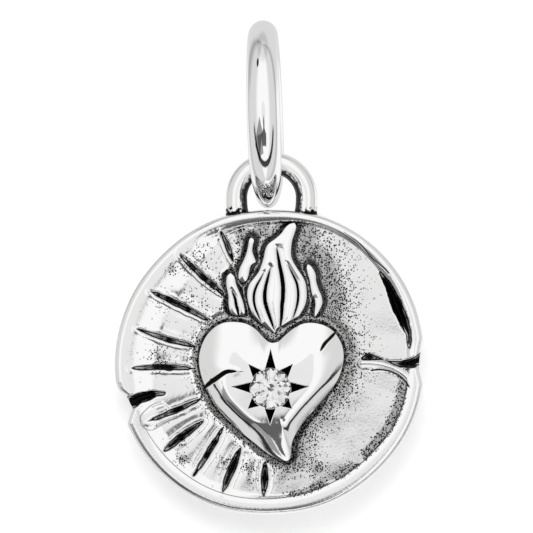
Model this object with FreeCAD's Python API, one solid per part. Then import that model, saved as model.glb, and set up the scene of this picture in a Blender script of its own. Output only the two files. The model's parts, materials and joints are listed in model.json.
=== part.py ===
import FreeCAD
import Part
import math
import os

# A milagro charm: a cast silver medal with a domed heart, four flames and ten chased rays,
# a round brilliant stone set flush in an engraved star, a soldered hanging eye and a large bail ring.
# The medal lies in the XZ plane and faces -Y. +Z is up, and +X is to the viewer's right.
# The origin is the centre of the bail ring, where a chain passes. The medal hangs below it by its eye.
# Lengths are in millimetres. Shares are fractions of the size that they are multiplied by.

Vector = FreeCAD.Vector
X_AXIS = Vector(1, 0, 0)
Y_AXIS = Vector(0, 1, 0)
Z_AXIS = Vector(0, 0, 1)

# The bail ring is a tapered round wire, thinner across where it passes through the eye.
bail_outer_radius = 5.8
bail_wire_depth = 1.85
bail_side_width = 2.0
bail_bottom_width = 1.45
bail_top_width = 1.8
bail_lean_deg = 1.6
bail_bottom_taper_power = 24
bail_top_taper_power = 8
bail_section_step_deg = 20
bail_section_points = 12

# The medal is one plate with a raised rim, a sunk field, and a deeper moat that the relief stands in.
medal_radius = 9.5
medal_top_share = 0.984
medal_thickness = 1.7
medal_shift = 0.25
field_depth = 0.32
moat_depth = 0.16
rim_front_round = 0.35
rim_back_round = 0.2
rim_round_steps = 3
rim_inner_slope = 0.12
lip_height = 0.2

# The hanging eye is a half ring of round wire on two legs, soldered to the medal's edge.
eye_wire_diameter = 1.32
eye_bend_radius = 2.17
eye_shift = 0.12
eye_leg_root = 0.6

# Running gaps between the bail ring and what it passes through.
eye_running_gap = 0.3
edge_running_gap = 0.1

# The stone is a round brilliant in a seat cut straight into the heart.
stone_diameter = 2.5
stone_main_facets = 8
stone_girdle_height = 0.08
stone_table_share = 0.57
crown_angle_deg = 34.5
star_facet_angle_deg = 21.0
upper_girdle_angle_deg = 41.0
pavilion_angle_deg = 40.75
lower_girdle_angle_deg = 42.2
seat_clearance = 0.015
seat_lip = 0.07
stone_sink = 0.16

# The engraved star round the stone.
star_long_reach = 2.4
star_short_reach = 1.98
star_root_width = 1.2
star_root_depth = 0.75
star_point_drop = 0.16

# The heart is a high dome on a flat base, with some metal left under the stone.
heart_width = 8.97
heart_floor = 0.3
heart_shift_x = 0.1
heart_drop = 1.6
heart_lobe_share = 0.455

# The flames stand beside the heart on the moat's floor.
flame_height = 0.6
flame_bevel = 0.13
flame_groove_depth = 0.4
flame_shoulder_share = 0.5
flame_tip_share = 0.89

# Chased cuts in the field.
ray_depth = 0.3
leaf_depth = 0.34
crack_depth = 0.42
cut_floor_share = 0.35
cut_overrun = 1.0

# Places worked out from the sizes above.
bail_inner_radius = bail_outer_radius - bail_wire_depth
bail_middle_radius = bail_outer_radius - bail_wire_depth / 2
medal_centre_x = medal_shift
medal_centre_z = -(bail_outer_radius + edge_running_gap + medal_radius * medal_top_share)
front_y = -medal_thickness / 2
back_y = medal_thickness / 2
field_y = front_y + field_depth
moat_y = field_y + moat_depth
eye_centre_x = medal_centre_x + eye_shift
eye_crown_z = -bail_inner_radius + eye_running_gap + eye_wire_diameter / 2
eye_centre_z = eye_crown_z - eye_bend_radius
heart_centre_x = medal_centre_x + heart_shift_x
heart_centre_z = medal_centre_z - heart_drop
pavilion_depth = stone_diameter / 2 * math.tan(math.radians(pavilion_angle_deg))
heart_height = stone_sink + stone_girdle_height + pavilion_depth + heart_floor
heart_top_y = moat_y - heart_height
girdle_y = heart_top_y + stone_sink
flame_top_y = moat_y - flame_height
flame_base_z = heart_centre_z + heart_width * heart_lobe_share
flame_span = medal_centre_z + medal_radius * flame_tip_share - flame_base_z

# Radius of the medal's edge and of the rim's inner edge, every 22.5 degrees from 3 o'clock,
# counted anticlockwise, as shares of the medal's radius.
edge_radius_shares = (
    1.008, 1.013, 1.012, 1.003, medal_top_share, 0.988, 0.984, 0.995,
    1.007, 1.012, 1.016, 1.013, 0.998, 1.002, 1.003, 1.011,
)
rim_radius_shares = (
    0.905, 0.925, 0.930, 0.920, 0.905, 0.900, 0.900, 0.910,
    0.915, 0.915, 0.915, 0.910, 0.892, 0.885, 0.889, 0.910,
)

# Each ray: outer end x, z, inner end x, z and width, as shares of the medal's radius.
ray_shares = (
    (-0.312, 0.822, -0.236, 0.642, 0.036),
    (-0.570, 0.671, -0.325, 0.456, 0.040),
    (-0.762, 0.447, -0.420, 0.272, 0.043),
    (-0.862, 0.209, -0.510, 0.099, 0.037),
    (-0.890, -0.047, -0.515, -0.051, 0.043),
    (-0.800, -0.394, -0.475, -0.256, 0.040),
    (-0.678, -0.578, -0.434, -0.394, 0.047),
    (-0.495, -0.742, -0.306, -0.432, 0.040),
    (-0.305, -0.840, -0.189, -0.564, 0.046),
    (-0.041, -0.865, -0.032, -0.672, 0.040),
)

# The curved leaf cut at the upper right: its two ends, and how far each side bows from the chord.
leaf_end_shares = ((0.717, 0.592), (0.913, 0.079))
leaf_bow_shares = (0.065, -0.012)

# The moat's outline, in shares of the heart's width from the stone's centre round the heart,
# and in the flames' shares of x and height round the flames.
moat_heart_shares = (
    (0.495, 0.444), (0.557, 0.285), (0.536, 0.099), (0.405, -0.108), (0.254, -0.301), (0.211, -0.453),
    (0.115, -0.557), (-0.064, -0.494), (-0.264, -0.301), (-0.472, -0.121), (-0.541, 0.168),
    (-0.533, 0.299), (-0.472, 0.423),
)
moat_flame_shares = (
    (-0.311, 0.067), (-0.303, 0.221), (-0.308, 0.475), (-0.222, 0.634), (-0.200, 0.781), (-0.155, 0.928),
    (0.035, 0.984), (0.150, 1.035), (0.205, 0.968), (0.224, 0.761), (0.315, 0.634), (0.386, 0.315),
    (0.399, 0.108),
)

# The two cracks that run in from the edge, as closed outlines in shares of the medal's radius.
left_crack_shares = (
    (-0.935, -0.232), (-0.824, -0.206), (-0.725, -0.199), (-0.686, -0.215),
    (-0.739, -0.248), (-0.811, -0.271), (-0.870, -0.301), (-0.925, -0.345),
)
right_crack_shares = (
    (0.596, 0.012), (0.643, 0.049), (0.707, 0.029), (0.778, 0.013), (0.857, 0.000), (0.921, 0.023),
    (0.990, 0.047), (0.990, -0.050), (0.892, -0.043), (0.821, -0.027), (0.750, -0.006), (0.679, 0.010),
)
left_notch_shares = (
    (-1.060, -0.140), (-0.985, -0.183), (-0.930, -0.231), (-0.906, -0.277), (-0.890, -0.308),
    (-0.910, -0.345), (-0.940, -0.385), (-1.060, -0.430),
)
right_notch_shares = (
    (1.080, 0.190), (1.004, 0.150), (0.982, 0.068), (0.972, -0.023), (0.990, -0.124), (1.080, -0.190),
)

# The raised lips beside the cracks.
left_lip_shares = (
    (-0.900, -0.348), (-0.791, -0.288), (-0.686, -0.245), (-0.561, -0.205), (-0.446, -0.212),
    (-0.488, -0.301), (-0.587, -0.347), (-0.692, -0.403), (-0.785, -0.450), (-0.840, -0.432),
    (-0.872, -0.390),
)
right_lip_shares = (
    (0.604, -0.005), (0.676, -0.008), (0.748, -0.021), (0.821, -0.046), (0.893, -0.064), (0.955, -0.085),
    (0.965, -0.140), (0.935, -0.205), (0.898, -0.200), (0.888, -0.150), (0.846, -0.110),
    (0.788, -0.076), (0.709, -0.048), (0.630, -0.038),
)

# Half of the heart's outline each, from the cleft to the point, as shares of the heart's width
# from the stone's centre.
heart_left_shares = (
    (0.003, 0.313), (-0.097, 0.403), (-0.229, heart_lobe_share), (-0.368, 0.431), (-0.472, 0.313),
    (-0.497, 0.167), (-0.458, 0.018), (-0.331, -0.185), (-0.113, -0.382), (0.082, -0.503),
    (0.122, -0.501),
)
heart_right_shares = (
    (0.122, -0.501), (0.143, -0.434), (0.174, -0.321), (0.264, -0.193), (0.406, -0.028), (0.489, 0.124),
    (0.497, 0.281), (0.421, 0.403), (0.285, 0.451), (0.158, 0.413), (0.052, 0.323), (0.003, 0.313),
)
# The dome's sections: outline scale and height, as shares.
heart_section_shares = (
    (1.000, 0.00), (1.005, 0.16), (0.985, 0.36), (0.925, 0.60), (0.815, 0.80), (0.640, 0.93), (0.420, 0.99),
    (0.280, 1.00),
)

# Flames as rows of height, left x and right x from the bottom up. Heights are shares of the span from
# the heart's lobes to the main flame's tip, and x is in shares of the medal's radius.
# The first and last rows are the points where the two sides meet.
main_flame_shares = (
    (-0.134, 0.036, 0.036), (-0.050, -0.036, 0.076), (0.001, -0.073, 0.122), (0.047, -0.107, 0.187),
    (0.135, -0.132, 0.226), (0.224, -0.147, 0.243), (0.303, -0.150, 0.243), (0.383, -0.137, 0.238),
    (0.440, -0.111, 0.224), (0.512, -0.077, 0.200), (0.591, -0.056, 0.168), (0.672, -0.041, 0.143),
    (0.752, -0.031, 0.143), (0.808, -0.011, 0.147), (0.857, 0.029, 0.151), (0.913, 0.069, 0.164),
    (0.960, 0.100, 0.172), (1.000, 0.160, 0.160),
)
upper_left_flame_shares = (
    (0.400, -0.177, -0.177), (0.432, -0.202, -0.150), (0.486, -0.208, -0.137), (0.559, -0.197, -0.127),
    (0.623, -0.178, -0.105), (0.676, -0.164, -0.102), (0.728, -0.153, -0.111), (0.784, -0.144, -0.109),
    (0.849, -0.137, -0.102), (0.876, -0.122, -0.122),
)
lower_left_flame_shares = (
    (0.059, -0.210, -0.210), (0.111, -0.263, -0.164), (0.184, -0.273, -0.171), (0.264, -0.273, -0.187),
    (0.343, -0.283, -0.207), (0.416, -0.288, -0.224), (0.472, -0.281, -0.233), (0.509, -0.258, -0.258),
)
right_flame_shares = (
    (0.036, 0.292, 0.292), (0.109, 0.290, 0.327), (0.189, 0.294, 0.347), (0.264, 0.278, 0.341),
    (0.335, 0.267, 0.321), (0.416, 0.259, 0.306), (0.496, 0.247, 0.301), (0.547, 0.241, 0.282),
    (0.602, 0.250, 0.250),
)
# Grooves between the licks, and the fork's gap: rows of height, middle x and width, in the same shares.
flame_groove_shares = (
    ((-0.026, -0.048, 0), (0.024, -0.066, 0.010), (0.103, -0.086, 0.014), (0.184, -0.100, 0.016),
     (0.272, -0.102, 0.017), (0.362, -0.087, 0.017), (0.435, -0.064, 0.014), (0.509, -0.041, 0)),
    ((-0.099, 0.031, 0), (-0.046, 0.018, 0.010), (0.047, -0.003, 0.014), (0.141, -0.023, 0.017),
     (0.246, -0.033, 0.021), (0.362, -0.023, 0.029), (0.466, -0.006, 0.026), (0.552, 0.004, 0)),
    ((-0.078, 0.067, 0), (-0.026, 0.073, 0.013), (0.089, 0.077, 0.020), (0.214, 0.084, 0.026),
     (0.340, 0.085, 0.033), (0.477, 0.077, 0.033), (0.612, 0.061, 0.016), (0.720, 0.047, 0)),
    ((0.063, 0.156, 0), (0.121, 0.171, 0.013), (0.208, 0.183, 0.016), (0.303, 0.184, 0.017),
     (0.404, 0.171, 0.016), (0.497, 0.145, 0.013), (0.591, 0.117, 0)),
)
fork_shares = (
    (-0.034, -0.204, 0), (0.030, -0.206, 0.028), (0.125, -0.213, 0.022), (0.205, -0.224, 0.020),
    (0.268, -0.238, 0.012), (0.315, -0.250, 0),
)


def medal_point(x_share, z_share, y):
    """A point of the medal's face, from shares of its radius."""
    return Vector(medal_centre_x + x_share * medal_radius, y, medal_centre_z + z_share * medal_radius)


def flame_point(x_share, height_share, y):
    """A point over the heart, from a share of the medal's radius and one of the flames' span."""
    return Vector(medal_centre_x + x_share * medal_radius, y, flame_base_z + height_share * flame_span)


def heart_point(x_share, z_share, y, scale=1.0):
    """A point from shares of the heart's width, measured from the stone's centre."""
    size = heart_width * scale
    return Vector(heart_centre_x + x_share * size, y, heart_centre_z + z_share * size)


def smooth_edge(points, closed=False):
    """A smooth curve through the points."""
    curve = Part.BSplineCurve()
    curve.interpolate(Points=points, PeriodicFlag=closed)
    return curve.toShape()


def prism(wire, depth):
    """The solid that a flat wire sweeps towards +Y."""
    return Part.Face(wire).extrude(Y_AXIS * depth)


def polar_wire(radius_shares, y, inset=0.0):
    """A smooth closed wire round the medal's centre, from radii at equal angles drawn in by inset."""
    step = 2 * math.pi / len(radius_shares)
    points = []
    for i, share in enumerate(radius_shares):
        reach = share - inset / medal_radius
        points.append(medal_point(reach * math.cos(i * step), reach * math.sin(i * step), y))
    return Part.Wire([smooth_edge(points, True)])


def quarter_round(radius, y_start, y_end):
    """Heights and insets of a rounded edge, from its side at y_start to its face at y_end."""
    turns = [math.radians(90 * i / rim_round_steps) for i in range(rim_round_steps + 1)]
    return [(y_start + (y_end - y_start) * math.sin(t), radius * (1 - math.cos(t))) for t in turns]


def outline_wire(shares, y):
    """A smooth closed wire through points of the medal's face."""
    return Part.Wire([smooth_edge([medal_point(x, z, y) for x, z in shares], True)])


def moat_wire(y):
    """The moat's smooth closed outline round the heart and the flames."""
    points = [heart_point(x, z, y) for x, z in moat_heart_shares]
    points += [flame_point(x, height, y) for x, height in moat_flame_shares]
    return Part.Wire([smooth_edge(points, True)])


def bowed_wire(start, end, bows, y, width_share=1.0):
    """Two arcs between two points of the medal's face, each bowed from the chord by a share."""
    (x0, z0), (x1, z1) = start, end
    length = math.hypot(x1 - x0, z1 - z0)
    across = ((z0 - z1) / length, (x1 - x0) / length)
    trim = (1 - width_share) * max(abs(bow) for bow in bows) * 2 / length
    ends = [
        medal_point(x0 + (x1 - x0) * t, z0 + (z1 - z0) * t, y)
        for t in (trim, 1 - trim)
    ]
    middle_bow = sum(bows) / 2
    arcs = []
    for bow in bows:
        side = middle_bow + (bow - middle_bow) * width_share
        middle = medal_point((x0 + x1) / 2 + across[0] * side, (z0 + z1) / 2 + across[1] * side, y)
        arcs.append(Part.Arc(ends[0], middle, ends[1]).toShape())
    return Part.Wire([arcs[0], arcs[1].reversed()])


def gouge(wire_at, depth):
    """A cutter with sloping walls: wire_at gives the outline at a height and a width share."""
    wires = [wire_at(field_y - cut_overrun, 1.0), wire_at(field_y, 1.0), wire_at(field_y + depth, cut_floor_share)]
    return Part.makeLoft(wires, True, True)


def rows_wire(rows, y, inset=0.0):
    """A closed wire from rows of height, left x and right x, drawn in by inset on both sides and ends."""
    across, along = X_AXIS * inset, Z_AXIS * inset
    (low_height, low_x, _), (high_height, high_x, _) = rows[0], rows[-1]
    low = flame_point(low_x, low_height, y) + along
    high = flame_point(high_x, high_height, y) - along
    left = [flame_point(x, height, y) + across for height, x, _ in rows[1:-1]]
    right = [flame_point(x, height, y) - across for height, _, x in reversed(rows[1:-1])]
    return Part.Wire([smooth_edge([low, *left, high]), smooth_edge([high, *right, low])])


def groove_rows(rows, width_share=1.0):
    """Rows of height, left x and right x for a groove given by its middle and width."""
    return [(height, x - width * width_share / 2, x + width * width_share / 2) for height, x, width in rows]


def groove_cutter(rows):
    """Cuts a curved groove into a flame from its top."""
    levels = (
        (1.0, flame_top_y - cut_overrun),
        (1.0, flame_top_y),
        (cut_floor_share, flame_top_y + flame_groove_depth),
    )
    wires = [rows_wire(groove_rows(rows, share), y) for share, y in levels]
    return Part.makeLoft(wires, True, True)


def medal_blank():
    """The plate before anything is cut into it, with a rounded edge."""
    back = quarter_round(rim_back_round, back_y - rim_back_round, back_y)
    front = quarter_round(rim_front_round, front_y + rim_front_round, front_y)
    sections = [polar_wire(edge_radius_shares, y, inset) for y, inset in [*reversed(back), *front]]
    return Part.makeLoft(sections, True, True)


def medal_disc():
    """The plate with its sunk field, raised lips, rays, leaf cut, cracks and notches."""
    pocket = Part.makeLoft(
        [
            polar_wire(rim_radius_shares, field_y),
            polar_wire(rim_radius_shares, front_y, -rim_inner_slope),
            polar_wire(rim_radius_shares, front_y - cut_overrun, -rim_inner_slope),
        ],
        True,
        True,
    )
    plate = medal_blank().cut(pocket)
    plate = plate.cut(prism(moat_wire(front_y), field_depth + moat_depth))
    for shares in (left_lip_shares, right_lip_shares):
        plate = plate.fuse(prism(outline_wire(shares, field_y - lip_height), lip_height + field_depth))
    cutters = [
        gouge(
            lambda y, share, ray=ray: bowed_wire(ray[0:2], ray[2:4], (ray[4] / 2, -ray[4] / 2), y, share),
            ray_depth,
        )
        for ray in ray_shares
    ]
    cutters.append(gouge(lambda y, share: bowed_wire(*leaf_end_shares, leaf_bow_shares, y, share), leaf_depth))
    above_y = front_y - cut_overrun
    for shares in (left_crack_shares, right_crack_shares):
        cutters.append(prism(outline_wire(shares, above_y), cut_overrun + field_depth + crack_depth))
    for shares in (left_notch_shares, right_notch_shares):
        cutters.append(prism(outline_wire(shares, above_y), medal_thickness + 2 * cut_overrun))
    return plate.cut(cutters).removeSplitter()


def heart_wire(scale, y):
    """The heart's outline at a scale about the stone's centre."""
    halves = (heart_left_shares, heart_right_shares)
    return Part.Wire([smooth_edge([heart_point(x, z, y, scale) for x, z in half]) for half in halves])


def star_ray(angle, reach):
    """A pointed cut that is widest and deepest at the stone and runs out at its tip."""
    half = star_root_width / 2
    top_y = heart_top_y - cut_overrun
    root_y = heart_top_y + star_root_depth
    tip_y = heart_top_y + star_point_drop
    tip_high = Vector(reach, top_y, 0)
    tip_low = Vector(reach, tip_y, 0)
    high = [Vector(0, top_y, -half), Vector(0, top_y, half)]
    low = Vector(0, root_y, 0)
    sides = [Vector(0, heart_top_y, -half), Vector(0, heart_top_y, half)]
    faces = [
        (high[0], high[1], tip_high),
        (high[0], tip_high, tip_low, sides[0]),
        (high[1], sides[1], tip_low, tip_high),
        (sides[0], tip_low, low),
        (sides[1], low, tip_low),
        (high[0], sides[0], low, sides[1], high[1]),
    ]
    shell = Part.Shell([Part.Face(Part.makePolygon([*f, f[0]])) for f in faces])
    ray = Part.Solid(shell)
    ray.rotate(Vector(0, 0, 0), Y_AXIS, -angle)
    ray.translate(Vector(heart_centre_x, 0, heart_centre_z))
    return ray


def stone_seat():
    """The turned recess for the stone, with the burnished lip over its girdle."""
    radius = stone_diameter / 2 + seat_clearance
    mouth = radius - seat_lip
    slope = math.tan(math.radians(pavilion_angle_deg)) / math.cos(math.pi / stone_main_facets)
    below = girdle_y + stone_girdle_height + seat_clearance
    lip_y = girdle_y - seat_clearance - seat_lip * math.tan(math.radians(crown_angle_deg))
    profile = [
        Vector(0, below + radius * slope, 0),
        Vector(radius, below, 0),
        Vector(radius, girdle_y - seat_clearance, 0),
        Vector(mouth, lip_y, 0),
        Vector(mouth, heart_top_y - cut_overrun, 0),
        Vector(0, heart_top_y - cut_overrun, 0),
    ]
    seat = Part.Face(Part.makePolygon([*profile, profile[0]])).revolve(Vector(0, 0, 0), Y_AXIS, 360)
    seat.translate(Vector(heart_centre_x, 0, heart_centre_z))
    return Part.Solid(Part.Shell(seat.Faces))


def heart():
    """The domed heart with the star and the stone's seat cut into its crown."""
    wires = [heart_wire(scale, moat_y - height * heart_height) for scale, height in heart_section_shares]
    dome = Part.makeLoft(wires, True, False)
    rays = [
        star_ray(i * 45, star_long_reach if i % 2 == 0 else star_short_reach)
        for i in range(8)
    ]
    return dome.cut([*rays, stone_seat()])


def flame(rows, grooves=()):
    """A flame that stands in the moat, bevelled towards its top, with any grooves cut in."""
    shoulder_y = moat_y - flame_height * flame_shoulder_share
    wires = [
        rows_wire(rows, moat_y),
        rows_wire(rows, shoulder_y),
        rows_wire(rows, flame_top_y, flame_bevel),
    ]
    solid = Part.makeLoft(wires, True, True)
    cutters = [groove_cutter(rows) for rows in grooves]
    return solid.cut(cutters) if cutters else solid


def forked_flame():
    """The lower left lick, split from below by a narrow gap right through it."""
    gap = rows_wire(groove_rows(fork_shares), flame_top_y - cut_overrun)
    return flame(lower_left_flame_shares).cut(prism(gap, flame_height + 2 * cut_overrun))


def facet_cutter(angle_deg, turn_deg, distance, crown):
    """Everything outside one facet, whose plane lies at a distance from the girdle's centre."""
    size = stone_diameter * 2
    block = Part.makeBox(size, size, size, Vector(-size / 2, -size, -size / 2))
    block.translate(Vector(0, -distance, 0))
    tilt = angle_deg if crown else 180 - angle_deg
    block.rotate(Vector(0, 0, 0), Z_AXIS, tilt)
    block.rotate(Vector(0, 0, 0), Y_AXIS, turn_deg)
    return block


def gemstone():
    """A round brilliant: table, crown and pavilion facets ground from a cylinder."""
    radius = stone_diameter / 2
    tan_crown = math.tan(math.radians(crown_angle_deg))
    crown_height = radius * (1 - stone_table_share) * tan_crown
    blank = Part.makeCylinder(
        radius,
        crown_height + stone_girdle_height + pavilion_depth,
        Vector(0, -crown_height, 0),
        Y_AXIS,
    )
    mains = stone_main_facets
    tiers = (
        (crown_angle_deg, mains, 0.0, True),
        (upper_girdle_angle_deg, 2 * mains, 0.5, True),
        (pavilion_angle_deg, mains, 0.0, False),
        (lower_girdle_angle_deg, 2 * mains, 0.5, False),
    )
    cutters = []
    for angle, count, offset, crown in tiers:
        tangent = math.radians(angle)
        reach = radius * math.sin(tangent)
        base = 0 if crown else stone_girdle_height * math.cos(tangent)
        for i in range(count):
            cutters.append(facet_cutter(angle, (i + offset) * 360 / count, reach + base, crown))
    star = math.radians(star_facet_angle_deg)
    star_reach = radius * stone_table_share * math.sin(star) + crown_height * math.cos(star)
    for i in range(mains):
        cutters.append(facet_cutter(star_facet_angle_deg, (i + 0.5) * 360 / mains, star_reach, True))
    stone = blank
    for cutter in cutters:
        stone = stone.cut(cutter)
    stone.translate(Vector(heart_centre_x, girdle_y, heart_centre_z))
    return stone


def hanging_eye():
    """A half ring on two legs, coped to the medal's edge."""
    wire_radius = eye_wire_diameter / 2
    centre = Vector(eye_centre_x, 0, eye_centre_z)
    reach = eye_bend_radius + eye_wire_diameter
    upper_half = Part.makeBox(2 * reach, 2 * reach, reach, centre - Vector(reach, reach, 0))
    crown = Part.makeTorus(eye_bend_radius, wire_radius, centre, Y_AXIS).common(upper_half)
    leg_length = eye_centre_z - (medal_centre_z + medal_radius * medal_top_share) + eye_leg_root
    legs = [
        Part.makeCylinder(wire_radius, leg_length, centre + X_AXIS * side * eye_bend_radius, Z_AXIS * -1)
        for side in (-1, 1)
    ]
    return crown.fuse(legs).removeSplitter().cut(medal_blank())


def bail_section(turn_deg):
    """The ring's elliptical section at an angle from its lowest point."""
    turn = math.radians(turn_deg)
    width = (
        bail_side_width
        - (bail_side_width - bail_bottom_width) * abs(math.cos(turn / 2)) ** bail_bottom_taper_power
        - (bail_side_width - bail_top_width) * abs(math.sin(turn / 2)) ** bail_top_taper_power
    )
    outward = Vector(0, -math.sin(turn), -math.cos(turn))
    points = []
    for i in range(bail_section_points):
        angle = 2 * math.pi * i / bail_section_points
        reach = bail_middle_radius + bail_wire_depth / 2 * math.cos(angle)
        points.append(outward * reach + X_AXIS * (width / 2 * math.sin(angle)))
    return Part.Wire([smooth_edge(points, True)])


def bail_ring():
    """The tapered ring: one half is lofted past the top and bottom, trimmed there and mirrored."""
    step = bail_section_step_deg
    sections = [bail_section(turn) for turn in range(-2 * step, 180 + 3 * step, step)]
    half = Part.makeLoft(sections, True, False)
    size = 2 * bail_outer_radius
    half = half.common(Part.makeBox(2 * size, size, 2 * size, Vector(-size, -size, -size)))
    ring = half.fuse(half.mirror(Vector(0, 0, 0), Y_AXIS))
    ring.rotate(Vector(0, 0, 0), Y_AXIS, -bail_lean_deg)
    return ring


def main():
    os.makedirs("parts", exist_ok=True)
    pieces = {
        "medal_disc": medal_disc(),
        "heart": heart(),
        "main_flame": flame(main_flame_shares, flame_groove_shares),
        "upper_left_flame": flame(upper_left_flame_shares),
        "lower_left_flame": forked_flame(),
        "right_flame": flame(right_flame_shares),
        "gemstone": gemstone(),
        "hanging_eye": hanging_eye(),
        "bail_ring": bail_ring(),
    }
    for name, shape in pieces.items():
        print(name, shape.isValid(), len(shape.Solids), round(shape.Volume, 3), shape.BoundBox)
        shape.exportStep("parts/" + name + ".step")


main()
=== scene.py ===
# A milagro charm in oxidised silver: a cast medal with a domed heart, flames and chased rays,
# a round stone set flush in a star, a soldered hanging eye and a large polished bail ring.
# The medal faces -Y and hangs below the bail ring, whose centre is the origin. Lengths are in metres.

import bmesh
import bpy
import json
import math
import numpy as np
from bpy.props import FloatProperty, FloatVectorProperty, IntProperty, PointerProperty
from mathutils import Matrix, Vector


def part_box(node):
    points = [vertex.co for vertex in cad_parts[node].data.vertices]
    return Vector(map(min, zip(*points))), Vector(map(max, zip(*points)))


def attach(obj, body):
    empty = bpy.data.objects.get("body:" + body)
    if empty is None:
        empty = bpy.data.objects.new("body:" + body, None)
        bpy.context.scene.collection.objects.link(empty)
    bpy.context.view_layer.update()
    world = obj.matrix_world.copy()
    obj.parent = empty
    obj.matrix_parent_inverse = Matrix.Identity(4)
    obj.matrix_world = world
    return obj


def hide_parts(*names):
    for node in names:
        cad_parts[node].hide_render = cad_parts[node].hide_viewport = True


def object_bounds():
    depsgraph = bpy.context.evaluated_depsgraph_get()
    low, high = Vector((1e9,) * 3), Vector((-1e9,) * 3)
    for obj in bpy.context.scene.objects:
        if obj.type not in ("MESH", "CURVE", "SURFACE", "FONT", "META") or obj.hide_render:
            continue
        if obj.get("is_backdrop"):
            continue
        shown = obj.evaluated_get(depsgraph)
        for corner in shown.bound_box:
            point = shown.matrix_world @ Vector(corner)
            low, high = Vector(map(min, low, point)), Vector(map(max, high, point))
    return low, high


bl_info = {
    "name": "Milagro charm",
    "version": (1, 0, 0),
    "blender": (4, 5, 0),
    "location": "View3D > Sidebar > Charm",
    "description": "Builds a silver milagro charm with a heart, flames, rays, a set stone and a bail ring",
    "category": "Add Mesh",
}

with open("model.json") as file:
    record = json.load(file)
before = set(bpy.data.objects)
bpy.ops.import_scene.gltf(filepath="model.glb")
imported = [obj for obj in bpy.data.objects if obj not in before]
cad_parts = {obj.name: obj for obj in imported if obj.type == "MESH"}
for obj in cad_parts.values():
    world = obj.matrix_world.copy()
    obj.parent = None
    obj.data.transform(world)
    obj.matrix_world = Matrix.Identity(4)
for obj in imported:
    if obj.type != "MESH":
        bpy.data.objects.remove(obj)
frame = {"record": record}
cad_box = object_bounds()

MM = 0.001
# The medal plate's rim is drawn this far inside the radii listed below. The dressed
# pieces stay this far inside the solids' outline.
EDGE_INSET = 0.005 * MM
MOUNTS = {mount["name"]: mount for mount in frame["record"]["mounts"]}
MEDAL_CENTRE_X, BACK_Y, MEDAL_CENTRE_Z = MOUNTS["back_face"]["pos_m"]
FRONT_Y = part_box("medal_disc")[0].y
STONE_LOW, STONE_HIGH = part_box("gemstone")
STONE_X = (STONE_LOW.x + STONE_HIGH.x) / 2
STONE_Z = (STONE_LOW.z + STONE_HIGH.z) / 2
STONE_RADIUS = (STONE_HIGH.x - STONE_LOW.x) / 2
HEART_TOP_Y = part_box("heart")[0].y
MOAT_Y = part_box("heart")[1].y
FLAME_TOP_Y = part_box("main_flame")[0].y

# Where the photograph shows the medal, in its own pixels.
PHOTO_MEDAL_X = 269.7
PHOTO_MEDAL_Y = 360.5
PHOTO_MEDAL_RADIUS = 153.5

# Radii every 22.5 degrees from 3 o'clock, anticlockwise, as shares of the medal's radius.
EDGE_SHARES = (
    1.008, 1.013, 1.012, 1.003, 0.984, 0.988, 0.984, 0.995,
    1.007, 1.012, 1.016, 1.013, 0.998, 1.002, 1.003, 1.011,
)
RIM_SHARES = (
    0.905, 0.928, 0.943, 0.942, 0.905, 0.900, 0.900, 0.910,
    0.915, 0.915, 0.915, 0.910, 0.892, 0.885, 0.889, 0.910,
)
# How wide the slope from the field up to the rim is, in millimetres, by the degrees from 3 o'clock.
RIM_SLOPE = (
    (0, 0.15), (20, 0.25), (50, 0.12), (75, 0.12), (100, 0.14), (112, 0.5), (125, 1.3), (140, 1.8),
    (180, 1.9), (205, 1.2), (225, 0.7), (250, 0.5), (275, 0.2), (300, 0.10), (340, 0.10),
)

# Outlines in the photograph's pixels.
LEFT_NOTCH_PX = (
    (117.0, 383.0), (119.6, 389.6), (127.0, 396.0), (130.6, 403.0), (133.0, 407.7), (130.8, 412.8),
    (128.8, 419.4), (127.0, 426.0),
)
RIGHT_NOTCH_PX = (
    (424.5, 330.0), (422.7, 338.0), (420.5, 350.0), (418.9, 364.0), (422.2, 379.6), (424.5, 392.0),
)
HEART_PX = (
    (271.9, 341.2), (265.9, 337.6), (257.2, 328.4), (248.5, 323.0), (238.8, 320.8), (227.9, 320.8),
    (218.2, 324.1), (209.5, 331.7), (203.6, 341.4), (200.3, 352.3), (199.8, 362.0), (201.4, 371.8),
    (205.2, 383.7), (209.5, 392.4), (216.0, 404.3), (223.6, 413.0), (233.4, 422.7), (244.2, 432.5),
    (255.0, 441.2), (265.9, 449.9), (274.6, 455.3), (283.2, 458.7), (288.7, 458.5), (291.9, 454.2),
    (291.9, 448.8), (293.0, 440.1), (296.2, 432.5), (301.7, 423.8), (309.3, 414.1), (320.1, 402.2),
    (329.9, 390.2), (337.4, 379.4), (341.8, 368.5), (343.9, 356.6), (342.9, 345.8), (338.5, 336.0),
    (332.0, 328.4), (323.3, 323.6), (312.5, 321.4), (302.7, 322.5), (294.1, 326.8), (285.4, 333.9),
    (278.9, 339.8),
)
# Each ray: outer end, inner end and greatest width.
RAYS_PX = (
    ((221.0, 230.2), (234.4, 262.7), 5.5), ((179.5, 253.4), (224.8, 294.0), 6.0),
    ((150.2, 290.2), (208.9, 320.1), 6.5), ((136.8, 327.8), (196.7, 346.3), 5.5),
    ((130.4, 367.3), (195.2, 368.0), 6.5), ((147.3, 420.7), (201.8, 397.7), 6.0),
    ((164.0, 450.8), (204.2, 420.2), 8.0), ((193.7, 475.2), (223.8, 425.9), 6.0),
    ((222.9, 491.5), (241.5, 446.0), 7.8), ((264.0, 494.6), (265.6, 460.0), 7.2),
)
LEAF_PX = (
    (379.3, 270.3), (390.7, 282.0), (399.4, 297.2), (405.9, 312.4), (410.8, 329.7), (411.3, 340.6),
    (409.1, 348.2), (406.4, 343.8), (404.8, 333.0), (399.4, 323.2), (392.9, 310.2), (388.5, 297.2),
    (383.1, 282.0),
)
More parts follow.
